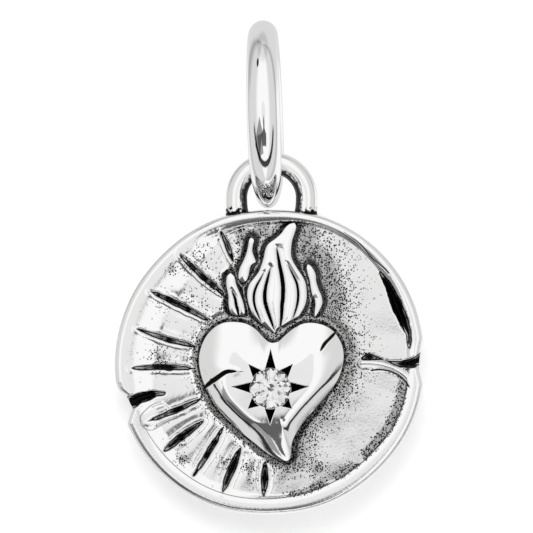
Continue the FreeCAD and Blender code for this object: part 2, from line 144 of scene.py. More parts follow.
LEFT_CRACK_PX = (
    (128.0, 396.0), (133.5, 394.2), (143.7, 390.6), (156.0, 390.0), (165.5, 391.6), (164.5, 394.6),
    (158.0, 396.0), (150.8, 399.6), (143.7, 402.0), (134.5, 407.5), (128.0, 409.5),
)
RIGHT_CRACK_PX = (
    (360.9, 358.5), (368.0, 352.5), (377.7, 355.8), (388.5, 359.0), (400.5, 360.1), (410.2, 356.8),
    (418.9, 352.0), (425.0, 350.5), (425.0, 362.0), (418.0, 364.5), (412.4, 367.2), (405.9, 366.6),
    (395.0, 364.4), (384.2, 360.1), (373.4, 359.0),
)
# The raised finger of metal under the left crack.
FINGER_PX = (
    (162.0, 400.8), (152.9, 403.9), (144.7, 411.0), (141.1, 417.1), (143.7, 425.3), (150.8, 429.0),
    (159.0, 426.3), (167.1, 421.2), (179.4, 415.1),
)
# The raised lip under the right crack.
RIGHT_LIP_PX = (
    (362.0, 362.0), (374.0, 362.5), (386.0, 364.8), (397.0, 369.0), (405.0, 374.5), (411.5, 383.0),
    (413.5, 392.0),
)
# Each fine line: path and width.
FINE_LINES_PX = (
    (((371.0, 369.5), (380.0, 368.6), (390.0, 370.2), (398.0, 374.0), (404.0, 379.0), (408.5, 385.5)), 1.9),
    (((344.0, 232.0), (357.0, 241.0), (365.0, 249.5), (371.0, 257.0), (378.0, 263.0), (384.0, 268.0),
      (388.5, 273.0)), 1.4),
)

# Flames: left side and right side, both from the lowest point to the tip.
MAIN_FLAME_PX = (
    ((275.6, 333.3), (264.0, 325.0), (258.6, 319.8), (254.0, 315.3), (250.2, 307.6), (247.9, 299.2),
     (247.5, 291.5), (249.4, 283.9), (253.3, 278.5), (258.6, 271.6), (261.7, 264.0), (264.0, 256.3),
     (265.5, 248.7), (268.6, 243.3), (274.7, 238.7), (280.8, 233.4), (285.4, 227.2), (290.0, 223.4),
     (295.0, 222.3)),
    ((275.6, 333.3), (277.3, 328.0), (283.9, 324.4), (288.5, 321.4), (298.4, 316.0), (301.5, 312.2),
     (305.3, 305.3), (307.2, 297.7), (307.2, 290.0), (306.1, 282.3), (303.0, 275.5), (298.4, 268.6),
     (293.8, 260.9), (291.9, 254.8), (291.9, 247.1), (293.1, 239.5), (295.4, 232.6), (296.9, 226.5),
     (295.0, 222.3)),
)
UPPER_LEFT_FLAME_PX = (
    ((243.3, 282.3), (239.5, 279.3), (238.7, 273.9), (240.3, 267.0), (243.3, 260.9), (246.4, 253.3),
     (248.3, 245.6), (249.4, 239.5), (251.7, 236.8)),
    ((243.3, 282.3), (247.1, 280.0), (249.4, 274.7), (251.0, 267.0), (253.3, 263.5), (256.6, 261.4),
     (254.8, 255.6), (253.3, 251.0), (253.6, 245.6), (254.8, 239.5), (251.7, 236.8)),
)
LOWER_LEFT_FLAME_PX = (
    ((239.8, 314.9), (233.4, 314.1), (230.3, 309.9), (228.8, 303.0), (228.8, 295.4), (227.2, 287.7),
     (226.5, 280.8), (227.6, 275.5), (231.1, 272.0)),
    ((239.8, 314.9), (245.2, 313.0), (245.2, 306.8), (243.3, 299.2), (240.3, 291.5), (237.2, 283.9),
     (235.3, 276.2), (231.1, 272.0)),
)
RIGHT_FLAME_PX = (
    ((314.5, 316.8), (314.5, 310.7), (315.2, 303.8), (314.5, 298.4), (312.2, 294.6), (310.7, 287.7),
     (309.5, 280.0), (307.6, 273.2), (306.5, 267.0), (308.0, 263.2)),
    ((314.5, 316.8), (316.8, 314.5), (320.6, 308.4), (322.9, 302.2), (322.1, 295.4), (319.1, 288.5),
     (316.8, 280.8), (316.0, 273.2), (312.2, 266.3), (308.0, 263.2)),
)
# Grooves between the licks: path from the top down and greatest width.
MAIN_GROOVES_PX = (
    (((264.0, 272.0), (260.9, 278.5), (256.7, 286.2), (254.4, 294.6), (254.8, 303.0), (257.1, 310.7),
      (262.0, 322.0)), 2.6),
    (((270.9, 267.8), (268.6, 276.2), (265.9, 287.7), (265.1, 297.7), (267.0, 306.8), (270.1, 316.0),
      (275.0, 330.0)), 3.8),
    (((277.0, 247.0), (280.0, 264.7), (282.3, 276.2), (283.5, 287.7), (283.1, 297.7), (282.3, 306.8),
      (281.6, 318.3), (280.0, 330.0)), 4.2),
    (((288.1, 264.0), (293.1, 273.9), (296.9, 282.3), (298.4, 291.5), (298.0, 300.7), (296.1, 309.1),
      (292.0, 321.0)), 2.6),
)
FORK_GROOVE_PX = ((((232.2, 290.0), (235.4, 297.0), (236.8, 304.0), (238.5, 311.0), (239.8, 320.0)), 3.0),)
# Cracks in the heart: path and greatest width.
HEART_CRACKS_PX = (
    (((203.5, 389.5), (208.0, 384.0), (215.0, 378.5), (222.0, 373.5), (229.0, 369.8), (238.0, 369.4)), 5.0),
    (((336.5, 330.0), (330.0, 337.0), (325.0, 342.0), (320.5, 349.5)), 3.6),
)
STAR_TIPS_PX = (
    (309.8, 384.3), (293.9, 361.5), (271.3, 346.3), (249.1, 361.8), (232.3, 384.6), (248.5, 406.8),
    (270.8, 423.3), (292.8, 406.5),
)
# Patches of punched dots: x, y, size and strength.
STIPPLE_SPOTS_PX = (
    (245, 236, 13, 0.85), (262, 228, 14, 0.8), (185, 262, 16, 0.3), (205, 255, 18, 0.35),
    (215, 285, 12, 0.5), (165, 300, 16, 0.22), (190, 296, 14, 0.3), (206, 305, 8, 0.5),
    (160, 358, 14, 0.5), (182, 442, 8, 0.3), (183, 458, 7, 0.75), (226, 462, 10, 0.55),
    (250, 466, 9, 0.6), (252, 480, 10, 0.35), (318, 468, 13, 0.6), (310, 480, 10, 0.5),
    (366, 355, 6, 0.7), (285, 487, 10, 0.3), (172, 268, 8, 0.6),
)
# Patches without dots: x, y, width and height.
BARE_SPOTS_PX = (
    (222, 240, 9, 14), (243, 222, 16, 5), (226, 267, 6, 8), (216, 300, 5, 6), (300, 483, 12, 7),
    (357, 458, 13, 7), (332, 480, 10, 5), (215, 480, 14, 10), (240, 486, 8, 8), (192, 309, 8, 6),
)

# The rays: bend of their middle, by turns up and down, in the photograph's pixels, and their wavy edge.
RAY_BEND_PX = 1.2
RAY_WAVE, RAY_WAVE_SIZE = 0.035 * MM, 0.34 * MM
# The valleys that they lie in, and how much the field rises round them.
VALLEY_WIDTH, VALLEY_DEPTH, LEFT_RISE = 0.42 * MM, 0.06 * MM, 0.04 * MM
# Their raised lips: distance from the edge, width and height.
RAY_LIP_PLACE, RAY_LIP_WIDTH, RAY_LIP_HEIGHT = 0.13 * MM, 0.09 * MM, 0.07 * MM
# Hammered waves in the field: height, size and seed.
FIELD_WAVES = ((0.018 * MM, 1.6 * MM, 3), (0.006 * MM, 0.7 * MM, 5))
# The leaf cut and the cracks in the plate: their wavy edge and the width of their slope.
CUT_WAVE, CUT_WAVE_SIZE, CUT_SLOPE = 0.03 * MM, 0.3 * MM, 0.28 * MM
FINE_LINE_DEPTH, FINE_LINE_SLOPE = 0.05 * MM, 0.03 * MM
LIP_HEIGHT, LIP_WIDTH = 0.23 * MM, 0.38 * MM
FINGER_HEIGHT, FINGER_SLOPE = 0.19 * MM, 0.25 * MM
# Width of the moat's slope round the heart and the flames, and how far from the rim the moat ends.
HEART_MOAT, FLAME_MOAT, MOAT_END = 0.75 * MM, 0.5 * MM, 0.35 * MM
# Where the rim is highest, as a share of its width from the inside.
RIM_CREST = 0.55
# Radius of the coarsely meshed middle, and width of the finely meshed step at the rim.
CORE_RADIUS, STEP_WIDTH = 2.2 * MM, 0.12 * MM
# How many of the rows past the medal's front still show its cuts.
EDGE_CUT_ROWS = 12
# The heart: waves in its dome, radius of its flat middle, start and length of the fall to its point.
HEART_WAVE, HEART_WAVE_SIZE = 0.012 * MM, 1.3 * MM
PLATEAU_RADIUS, TIP_START, TIP_LENGTH = 4 * MM, 1.75 * MM, 2.7 * MM
# Its cracks: their wavy edge and depth, and height and width of the metal raised beside them.
CRACK_WAVE, CRACK_DEPTH, CRACK_LIP, CRACK_LIP_WIDTH = 0.02 * MM, 0.14 * MM, 0.05 * MM, 0.25 * MM
# How far the seat's lip reaches over the stone, and how far down the stone its girdle lies.
SEAT_LIP, GIRDLE_SHARE = 0.055 * MM, 0.24
# The inner corners of the stone's crown and pavilion, as shares of its radius.
STAR_SHARE, LOWER_SHARE = 0.77, 0.24
# The grooves between the licks, and the length over which a flame's ends are lower.
GROOVE_DEPTH, GROOVE_SLOPE, FLAME_END = 0.25 * MM, 0.1 * MM, 0.5 * MM
# Points across a flame of the given width.
FLAME_COLUMNS, FLAME_WIDTH = 110, 3.7 * MM
# How far the heart and the flames go into the plate.
HEART_ROOT, FLAME_ROOT = 0.12 * MM, 0.08 * MM
# Height of the solder at the eye's feet.
FILLET_HEIGHT = 0.28 * MM
# How far the floor lies below the medal, and how far the card stands behind it and ends below the ring.
FLOOR_GAP, CARD_GAP, CARD_DROP = 2.6 * MM, 0.8 * MM, 0.3 * MM

OXIDE_ROUGHNESS = 0.35
WHITE = (1, 1, 1, 1)
# The tent's grey walls: lowest and highest azimuth from straight ahead, softness and strength.
TENT_WALLS = (
    (-2.08, -0.95, 0.4, 0.28), (0.9, 1.62, 0.4, 0.28), (-2.10, -1.98, 0.12, 0.22), (1.62, 1.74, 0.12, 0.26),
)
DARK_CARD_DIRECTION = (-0.448, -0.355, 0.820)
# Where the camera looks, and the width of its sensor in millimetres.
PICTURE_CENTRE = Vector((0.06 * MM, 0, -9.40 * MM))
SENSOR_WIDTH = 36


def length(name, description, default):
    """A property for a length in metres."""
    return FloatProperty(name=name, description=description, default=default, unit="LENGTH", precision=5)


def angle(name, description, degrees):
    """A property for an angle."""
    return FloatProperty(
        name=name, description=description, default=math.radians(degrees), subtype="ANGLE", unit="ROTATION"
    )


def count(name, description, default, low, high):
    """A property for a whole number."""
    return IntProperty(name=name, description=description, default=default, min=low, max=high)


def plain(name, description, default, precision=2):
    """A property for a number without a unit."""
    return FloatProperty(name=name, description=description, default=default, precision=precision)


def colour(name, description, default):
    """A property for a colour."""
    return FloatVectorProperty(name=name, description=description, default=default, subtype="COLOR", size=3)


class CharmMedal(bpy.types.PropertyGroup):
    """Sizes of the medal plate."""

    radius: length("Radius", "Mean radius of the medal", 9.5 * MM)
    field_depth: length("Field depth", "How far the field lies below the rim", 0.32 * MM)
    edge_round: length("Front edge", "Radius of the rounded front edge", 0.42 * MM)
    back_round: length("Back edge", "Radius of the rounded back edge", 0.2 * MM)
    crown_drop: length("Rim crown", "How far the rim's face falls to its inner side", 0.09 * MM)
    ray_depth: length("Ray depth", "Depth of the chased rays", 0.3 * MM)
    crack_depth: length("Crack depth", "Depth of the leaf cut and the cracks", 0.42 * MM)
    segments: count("Segments", "Points round the medal", 660, 64, 800)
    field_rows: count("Field rows", "Rings of points across the field", 104, 16, 200)


class CharmHeart(bpy.types.PropertyGroup):
    """Sizes of the heart."""

    lower_flank: length("Lower flank", "Width of the slope beside the point", 1.15 * MM)
    upper_flank: length("Upper flank", "Width of the slope over the lobes", 2.1 * MM)
    wall_share: plain("Wall", "Share of the heart's height that stands upright at its outline", 0.5)
    plateau_drop: length("Crown", "How far the flat middle falls towards its edge", 0.06 * MM)
    star_depth: length("Star depth", "Depth of the engraved star at the stone", 0.6 * MM)
    star_root: length("Star root", "Width of a star ray at the stone", 0.62 * MM)
    segments: count("Segments", "Points round the heart", 560, 64, 800)
    rows: count("Rows", "Rings of points over the heart", 120, 24, 200)
    tip_drop: length("Tip drop", "How far the dome falls towards the point", 0.55 * MM)
    softening: count("Softening", "Passes that round the dome's ridges", 160, 0, 600)


class CharmFlame(bpy.types.PropertyGroup):
    """Sizes of the flames."""

    edge_height: length("Edge", "Height of a flame's upright edge over the moat", 0.4 * MM)
    shoulder: length("Shoulder", "Width of the rounded shoulder of a lick", 0.9 * MM)
    rows: count("Rows", "Rows from foot to tip", 150, 16, 300)


class CharmEye(bpy.types.PropertyGroup):
    """Sizes of the hanging eye."""

    bend_radius: length("Bend radius", "Radius of the eye's bend at the middle of its wire", 2.17 * MM)
    wire_diameter: length("Wire", "Diameter of the eye's wire", 1.32 * MM)
    foot_flare: length("Solder fillet", "How far the solder spreads at each foot", 0.16 * MM)
    root: length("Root", "How far each leg is sunk into the medal's edge", 0.35 * MM)


class CharmBail(bpy.types.PropertyGroup):
    """Sizes of the bail ring. Each of them is an input of its Geometry Nodes tree."""

    outer_radius: length("Outer radius", "Outer radius of the ring", 5.8 * MM)
    wire_depth: length("Wire depth", "Radial thickness of the ring's wire", 1.85 * MM)
    side_width: length("Side width", "Width of the wire at the ring's sides", 2.0 * MM)
    bottom_width: length("Bottom width", "Width of the wire in the eye", 1.45 * MM)
    top_width: length("Top width", "Width of the wire at the top", 1.8 * MM)
    bottom_power: plain("Bottom taper", "How late the wire narrows towards the bottom", 24.0)
    top_power: plain("Top taper", "How late the wire narrows towards the top", 8.0)
    lean: angle("Lean", "How far the ring leans towards -X", 1.6)
    segments: count("Segments", "Points round the ring", 220, 24, 400)
    sides: count("Sides", "Points round the wire", 56, 12, 120)


class CharmStone(bpy.types.PropertyGroup):
    """Cut of the stone."""

    table_share: plain("Table", "Width of the table as a share of the stone's", 0.57, 3)
    crown_angle: angle("Crown", "Slope of the crown's main facets", 34.5)
    pavilion_angle: angle("Pavilion", "Slope of the pavilion's main facets", 40.75)
    girdle: length("Girdle", "Thickness of the girdle", 0.06 * MM)


class CharmFinish(bpy.types.PropertyGroup):
    """Colours of the charm's finishes."""

    silver: colour("Silver", "Polished silver", (0.95, 0.948, 0.945))
    # The oxide colour also paints the medal's painted shade.
    oxide: colour("Oxide", "Dark oxide left in the cuts", (0.010, 0.009, 0.008))


class CharmStage(bpy.types.PropertyGroup):
    """Camera and light."""

    azimuth: angle("Azimuth", "How far the camera stands to +X", 1.5)
    lens: plain("Lens", "Focal length in millimetres", 140.0)
    view_width: length("View width", "Width of the picture at the medal", 33.0 * MM)


GROUPS = {
    "charm_medal": CharmMedal,
    "charm_heart": CharmHeart,
    "charm_flame": CharmFlame,
    "charm_eye": CharmEye,
    "charm_bail": CharmBail,
    "charm_stone": CharmStone,
    "charm_finish": CharmFinish,
    "charm_stage": CharmStage,
}


def smoothstep(value):
    """0 to 1 with soft ends."""
    t = np.clip(value, 0, 1)
    return t * t * (3 - 2 * t)


def cubic(a, b, c, d, t):
    """The value at t on the smooth curve from b to c, where a comes before them and d after them."""
    return 0.5 * (2 * b + (c - a) * t + (2 * a - 5 * b + 4 * c - d) * t**2 + (3 * b - a - 3 * c + d) * t**3)


def smooth_path(points, closed=False, steps=8):
    """Points along a smooth curve through the given points."""
    pts = np.array(points, float)
    n = len(pts)
    path = []
    for i in range(n if closed else n - 1):
        near = [(i + k) % n if closed else min(max(i + k, 0), n - 1) for k in (-1, 0, 1, 2)]
        path += [cubic(*pts[near], k / steps) for k in range(steps)]
    if not closed:
        path.append(pts[-1])
    return np.array(path)


def photo_points(pixels):
    """X and Z of points of the photograph, on the medal's face."""
    scale = bpy.context.scene.charm_medal.radius / PHOTO_MEDAL_RADIUS
    px, py = np.array(pixels, float).reshape(-1, 2).T
    x = MEDAL_CENTRE_X + (px - PHOTO_MEDAL_X) * scale
    z = MEDAL_CENTRE_Z - (py - PHOTO_MEDAL_Y) * scale
    return np.stack([x, z], axis=1)


def photo_length(pixels):
    """A length on the medal's face from one in the photograph."""
    return pixels * bpy.context.scene.charm_medal.radius / PHOTO_MEDAL_RADIUS


def path_distance(x, z, path, closed=False):
    """Distance of each point to a path, its side (left positive) and the share of the way along the path."""
    ends = np.roll(path, -1, axis=0) if closed else path[1:]
    starts = path if closed else path[:-1]
    lengths = np.hypot(*(ends - starts).T)
    before = np.concatenate([[0], np.cumsum(lengths)])
    best = np.full(x.shape, 1e9)
    side = np.zeros(x.shape)
    along = np.zeros(x.shape)
    for i, (a, b) in enumerate(zip(starts, ends)):
        if lengths[i] < 1e-12:
            continue
        ux, uz = (b - a) / lengths[i]
        px, pz = x - a[0], z - a[1]
        t = np.clip(px * ux + pz * uz, 0, lengths[i])
        d = np.hypot(px - t * ux, pz - t * uz)
        closer = d < best
        best = np.where(closer, d, best)
        side = np.where(closer, np.sign(ux * pz - uz * px), side)
        along = np.where(closer, (before[i] + t) / before[-1], along)
    return best, side, along


def inside_outline(x, z, path):
    """Whether each point lies inside a closed path."""
    inside = np.zeros(x.shape, bool)
    for (x0, z0), (x1, z1) in zip(path, np.roll(path, -1, axis=0)):
        if z0 == z1:
            continue
        crosses = ((z0 > z) != (z1 > z)) & (x < (x1 - x0) * (z - z0) / (z1 - z0) + x0)
        inside ^= crosses
    return inside


def outline_distance(x, z, path):
    """Signed distance to a closed path, negative inside."""
    d = path_distance(x, z, path, closed=True)[0]
    return np.where(inside_outline(x, z, path), -d, d)


def groove_distance(x, z, path, width):
    """Signed distance to the edge of a groove with pointed ends, negative inside."""
    d, side, along = path_distance(x, z, path)
    half = width / 2 * np.sqrt(np.clip(np.sin(np.pi * along), 0, 1))
    return d - half, side


def soft_noise(x, z, size, seed):
    """Smooth noise from -1 to 1 whose lumps are about the given size."""
    grid = np.random.RandomState(seed).uniform(-1, 1, (64, 64))
    u, v = x / size + 1000.5, z / size + 1000.5
    i, j = np.floor(u).astype(int), np.floor(v).astype(int)
    s, t = smoothstep(u - i), smoothstep(v - j)
    corner = {(a, b): grid[(i + a) % 64, (j + b) % 64] for a in (0, 1) for b in (0, 1)}
    low = corner[0, 0] * (1 - s) + corner[1, 0] * s
    high = corner[0, 1] * (1 - s) + corner[1, 1] * s
    return low * (1 - t) + high * t


def periodic(shares, angles):
    """A smooth closed curve of values at equal angles, read at any angle."""
    values = np.array(shares, float)
    n = len(values)
    u = np.mod(angles, 2 * np.pi) / (2 * np.pi) * n
    i = np.floor(u).astype(int) % n
    t = u - np.floor(u)
    return cubic(*(values[(i + k) % n] for k in (-1, 0, 1, 2)), t)


def notch_radius(angles, pixels):
    """The medal's radius along a notch, and a large radius away from it."""
    path = photo_points(smooth_path(pixels))
    dx, dz = path[:, 0] - MEDAL_CENTRE_X, path[:, 1] - MEDAL_CENTRE_Z
    middle = math.atan2(dz.mean(), dx.mean())
    turn = np.mod(np.arctan2(dz, dx) - middle + np.pi, 2 * np.pi) - np.pi
    order = np.argsort(turn)
    asked = np.mod(angles - middle + np.pi, 2 * np.pi) - np.pi
    return np.interp(asked, turn[order], np.hypot(dx, dz)[order], left=1.0, right=1.0)


def edge_radius(angles):
    """The medal's outer radius, notches included."""
    radius = periodic(EDGE_SHARES, angles) * bpy.context.scene.charm_medal.radius - EDGE_INSET
    for pixels in (LEFT_NOTCH_PX, RIGHT_NOTCH_PX):
        radius = np.minimum(radius, notch_radius(angles, pixels))
    return radius


def add_object(name, data):
    """A new object in the scene."""
    obj = bpy.data.objects.new(name, data)
    bpy.context.scene.collection.objects.link(obj)
    return obj


def mesh_object(name, points, faces, attributes, material):
    """An object whose mesh is made of points and faces, with one value of each attribute per point."""
    mesh = bpy.data.meshes.new(name)
    mesh.from_pydata(points, [], faces)
    for key, values in attributes.items():
        layer = mesh.attributes.new(key, "FLOAT", "POINT")
        layer.data.foreach_set("value", np.asarray(values, np.float32))
    mesh.materials.append(material)
    mesh.shade_smooth()
    return add_object(name, mesh)


def ringed_mesh(name, rows, start, end, attributes, material):
    """A closed mesh of rings of points between a start point and an end point."""
    count, around = rows.shape[:2]
    points = np.concatenate([rows.reshape(-1, 3), [start], [end]]).tolist()
    first, last = count * around, count * around + 1
    faces = []
    for i in range(count - 1):
        a, b = i * around, (i + 1) * around
        faces += [(a + j, b + j, b + (j + 1) % around, a + (j + 1) % around) for j in range(around)]
    a = (count - 1) * around
    faces += [(first, j, (j + 1) % around) for j in range(around)]
    faces += [(last, a + (j + 1) % around, a + j) for j in range(around)]
    values = {
        key: np.concatenate([value.reshape(-1), [value[0].mean(), value[-1].mean()]])
        for key, value in attributes.items()
    }
    return mesh_object(name, points, faces, values, material)


def ring_rows(centre_x, centre_z, radii, depths, angles):
    """Rings of points round a centre, at the given radii and depths."""
    x = centre_x + np.array(radii) * np.cos(angles)
    z = centre_z + np.array(radii) * np.sin(angles)
    return np.stack([x, np.array(depths), z], axis=2)


def heart_outline():
    """The heart's smooth outline."""
    return photo_points(smooth_path(HEART_PX, closed=True, steps=6))


def flame_outline(sides_px):
    """A flame's closed outline, up its left side and down its right side."""
    left, right = (smooth_path(side, steps=5) for side in sides_px)
    return photo_points(np.concatenate([left, right[::-1][1:-1]]))


def grooves(pixels):
    """Paths and widths of grooves."""
    return [(photo_points(smooth_path(path, steps=5)), photo_length(width)) for path, width in pixels]


# Each flame's object: the node it replaces, its outline and its grooves.
FLAMES = {
    "main_flame_licks": ("main_flame", MAIN_FLAME_PX, MAIN_GROOVES_PX),
    "upper_left_lick": ("upper_left_flame", UPPER_LEFT_FLAME_PX, ()),
    "lower_left_forked_lick": ("lower_left_flame", LOWER_LEFT_FLAME_PX, FORK_GROOVE_PX),
    "right_lick": ("right_flame", RIGHT_FLAME_PX, ()),
}


def ray_relief(x, z):
    """The chased rays: distance to their edge, depth, the valleys round them and their raised lips."""
    ray_depth = bpy.context.scene.charm_medal.ray_depth
    cut = np.full(x.shape, 1.0 * MM)
    depth, valley, lips = (np.zeros(x.shape) for _ in range(3))
    for index, (outer, inner, width_px) in enumerate(RAYS_PX):
        bend = RAY_BEND_PX * (1 if index % 2 else -1)
        middle = ((outer[0] + inner[0]) / 2, (outer[1] + inner[1]) / 2 + bend)
        width = photo_length(width_px)
        d, side = groove_distance(x, z, photo_points(smooth_path((outer, middle, inner), steps=4)), width)
        d = d + RAY_WAVE * soft_noise(x, z, RAY_WAVE_SIZE, 11 + index)
        cut = np.minimum(cut, d)
        depth = np.maximum(depth, ray_depth * np.clip(-d / (width / 2), 0, 1) ** 0.8)
        valley = np.maximum(valley, np.exp(-((np.maximum(d, 0) / VALLEY_WIDTH) ** 2)))
        one_side = np.where((side > 0) == (outer[0] < inner[0]), 0.35, 1.0)
        lips = np.maximum(lips, one_side * np.exp(-(((d - RAY_LIP_PLACE) / RAY_LIP_WIDTH) ** 2)))
    return cut, depth, valley, lips


def medal_relief(x, z):
    """How far the medal's face stands out at each point, with the distances that its finish needs."""
    sizes = bpy.context.scene.charm_medal
    turn = np.arctan2(z - MEDAL_CENTRE_Z, x - MEDAL_CENTRE_X)
    radius = np.hypot(x - MEDAL_CENTRE_X, z - MEDAL_CENTRE_Z)
    edge = edge_radius(turn)
    rim = periodic(RIM_SHARES, turn) * sizes.radius
    degrees = np.mod(np.degrees(turn), 360)
    slope_angles, slope_widths = np.array(RIM_SLOPE).T
    slope = np.interp(degrees, slope_angles, slope_widths, period=360) * MM
    rise = smoothstep((radius - rim + slope) / slope)

    # The rim's face falls to its inner side, except where the field rises to it in a wide slope.
    across = (radius - rim) / (edge - rim)
    stepped = 1 - smoothstep((slope - 0.7 * MM) / (0.6 * MM))
    crown = -FRONT_Y - sizes.crown_drop * stepped * np.clip((RIM_CREST - across) / RIM_CREST, 0, 1.2) ** 2

    # The rays sit in shallow valleys, so that the metal between them is convex.
    cut, depth, valley, lips = ray_relief(x, z)
    left = smoothstep((np.cos(turn - math.radians(185)) + 0.15) / 0.5)
    field = -FRONT_Y - sizes.field_depth
    for wave, size, seed in FIELD_WAVES:
        field = field + wave * soft_noise(x, z, size, seed)
    field = field - VALLEY_DEPTH * valley * left + LEFT_RISE * left

    # The leaf cut, the two cracks, two fine lines, and the raised metal beside the cracks.
    for pixels in (LEAF_PX, LEFT_CRACK_PX, RIGHT_CRACK_PX):
        d = outline_distance(x, z, photo_points(smooth_path(pixels, closed=True, steps=5)))
        d = d + CUT_WAVE * soft_noise(x, z, CUT_WAVE_SIZE, 31)
        cut = np.minimum(cut, d)
        depth = np.maximum(depth, sizes.crack_depth * np.clip(-d / CUT_SLOPE, 0, 1) ** 0.7)
    for pixels, width_px in FINE_LINES_PX:
        d = path_distance(x, z, photo_points(smooth_path(pixels)))[0] - photo_length(width_px) / 2
        cut = np.minimum(cut, d)
        depth = np.maximum(depth, FINE_LINE_DEPTH * np.clip(-d / FINE_LINE_SLOPE, 0, 1))
    lip_d = path_distance(x, z, photo_points(smooth_path(RIGHT_LIP_PX)))[0]
    finger = photo_points(smooth_path(FINGER_PX))
    finger_d = path_distance(x, z, finger)[0]
    in_finger = inside_outline(x, z, finger)
    raised = LIP_HEIGHT * smoothstep(1 - lip_d / LIP_WIDTH)
    raised = np.maximum(raised, np.where(in_finger, FINGER_HEIGHT * smoothstep(finger_d / FINGER_SLOPE), 0))
    height = field * (1 - rise) + crown * rise + raised * (1 - rise)
    height = height + RAY_LIP_HEIGHT * lips * (1 - 0.7 * rise)

    # The moat round the heart and the flames, which ends before the rim.
    heart_d = outline_distance(x, z, heart_outline())
    flame_d = np.full(x.shape, 1.0)
    for _, sides_px, _ in FLAMES.values():
        flame_d = np.minimum(flame_d, outline_distance(x, z, flame_outline(sides_px)))
    flame_d = flame_d + FLAME_MOAT * smoothstep((radius - rim + MOAT_END) / MOAT_END)
    sink = np.maximum(smoothstep(1 - heart_d / HEART_MOAT), smoothstep(1 - flame_d / FLAME_MOAT))
    height = height * (1 - sink) + np.minimum(height, -MOAT_Y) * sink
    height = height - depth * (1 - sink)
    return height, {"cut": cut, "heart_gap": heart_d, "flame_gap": flame_d, "finger": finger_d,
                    "in_finger": in_finger, "lip": lip_d, "rim": rim - radius, "angle": degrees}


def stipple_density(x, z, fields):
    """How thick the punched dots lie, from 0 to 1."""
    px = PHOTO_MEDAL_X + (x - MEDAL_CENTRE_X) / photo_length(1)
    py = PHOTO_MEDAL_Y - (z - MEDAL_CENTRE_Z) / photo_length(1)
    gaps = (np.clip(fields[key] / MM, 0, None) for key in ("heart_gap", "flame_gap", "rim"))
    heart_d, flame_d, inner = gaps
    # They lie round the relief, further out at the right, and along the rim at the lower right.
    right = smoothstep((px - 262) / 30)
    reach_heart = 0.55 + 0.65 * right
    reach_flame = 0.55 + 1.25 * right
    density = np.maximum(np.exp(-((heart_d / reach_heart) ** 1.3)), np.exp(-((flame_d / reach_flame) ** 1.5)))
    lower_right = smoothstep((np.cos(np.radians(fields["angle"] - 318)) - 0.72) / 0.12)
    density = np.maximum(density, 1.7 * lower_right * np.exp(-((inner / 0.5) ** 2)))
    for sx, sy, size, strength in STIPPLE_SPOTS_PX:
        density = np.maximum(density, strength * np.exp(-(((px - sx) ** 2 + (py - sy) ** 2) / size**2)))
    for sx, sy, wide, high in BARE_SPOTS_PX:
        density = density * (1 - np.exp(-(((px - sx) / wide) ** 2 + ((py - sy) / high) ** 2)) * 0.95)
    density = np.clip(1.35 * density - 0.04, 0.02, 0.85)
    # Few lie on the raised metal, and none on the rim.
    density = density * smoothstep((fields["lip"] - 0.2 * MM) / (0.1 * MM)) * (1 - 0.85 * fields["in_finger"])
    on_rim = smoothstep(-fields["rim"] / (0.12 * MM))
    return np.clip(density * (1 - on_rim), 0, 1)


def medal_rows(angles):
    """Radii of the rings over the front of the medal, from the middle out."""
    sizes = bpy.context.scene.charm_medal
    edge = edge_radius(angles)
    rim = np.minimum(periodic(RIM_SHARES, angles) * sizes.radius, edge - sizes.edge_round - 0.1 * MM)
    step = rim - STEP_WIDTH
    rows = [np.full(angles.shape, CORE_RADIUS * share) for share in (0.3, 0.65)]
    rows += [CORE_RADIUS + (step - CORE_RADIUS) * t for t in np.linspace(0, 1, sizes.field_rows)]
    rows += [step + (rim - step) * t for t in np.linspace(0, 1, 7)[1:]]
    rows += [rim + (edge - sizes.edge_round - rim) * t for t in np.linspace(0, 1, 10)[1:]]
    return rows, edge


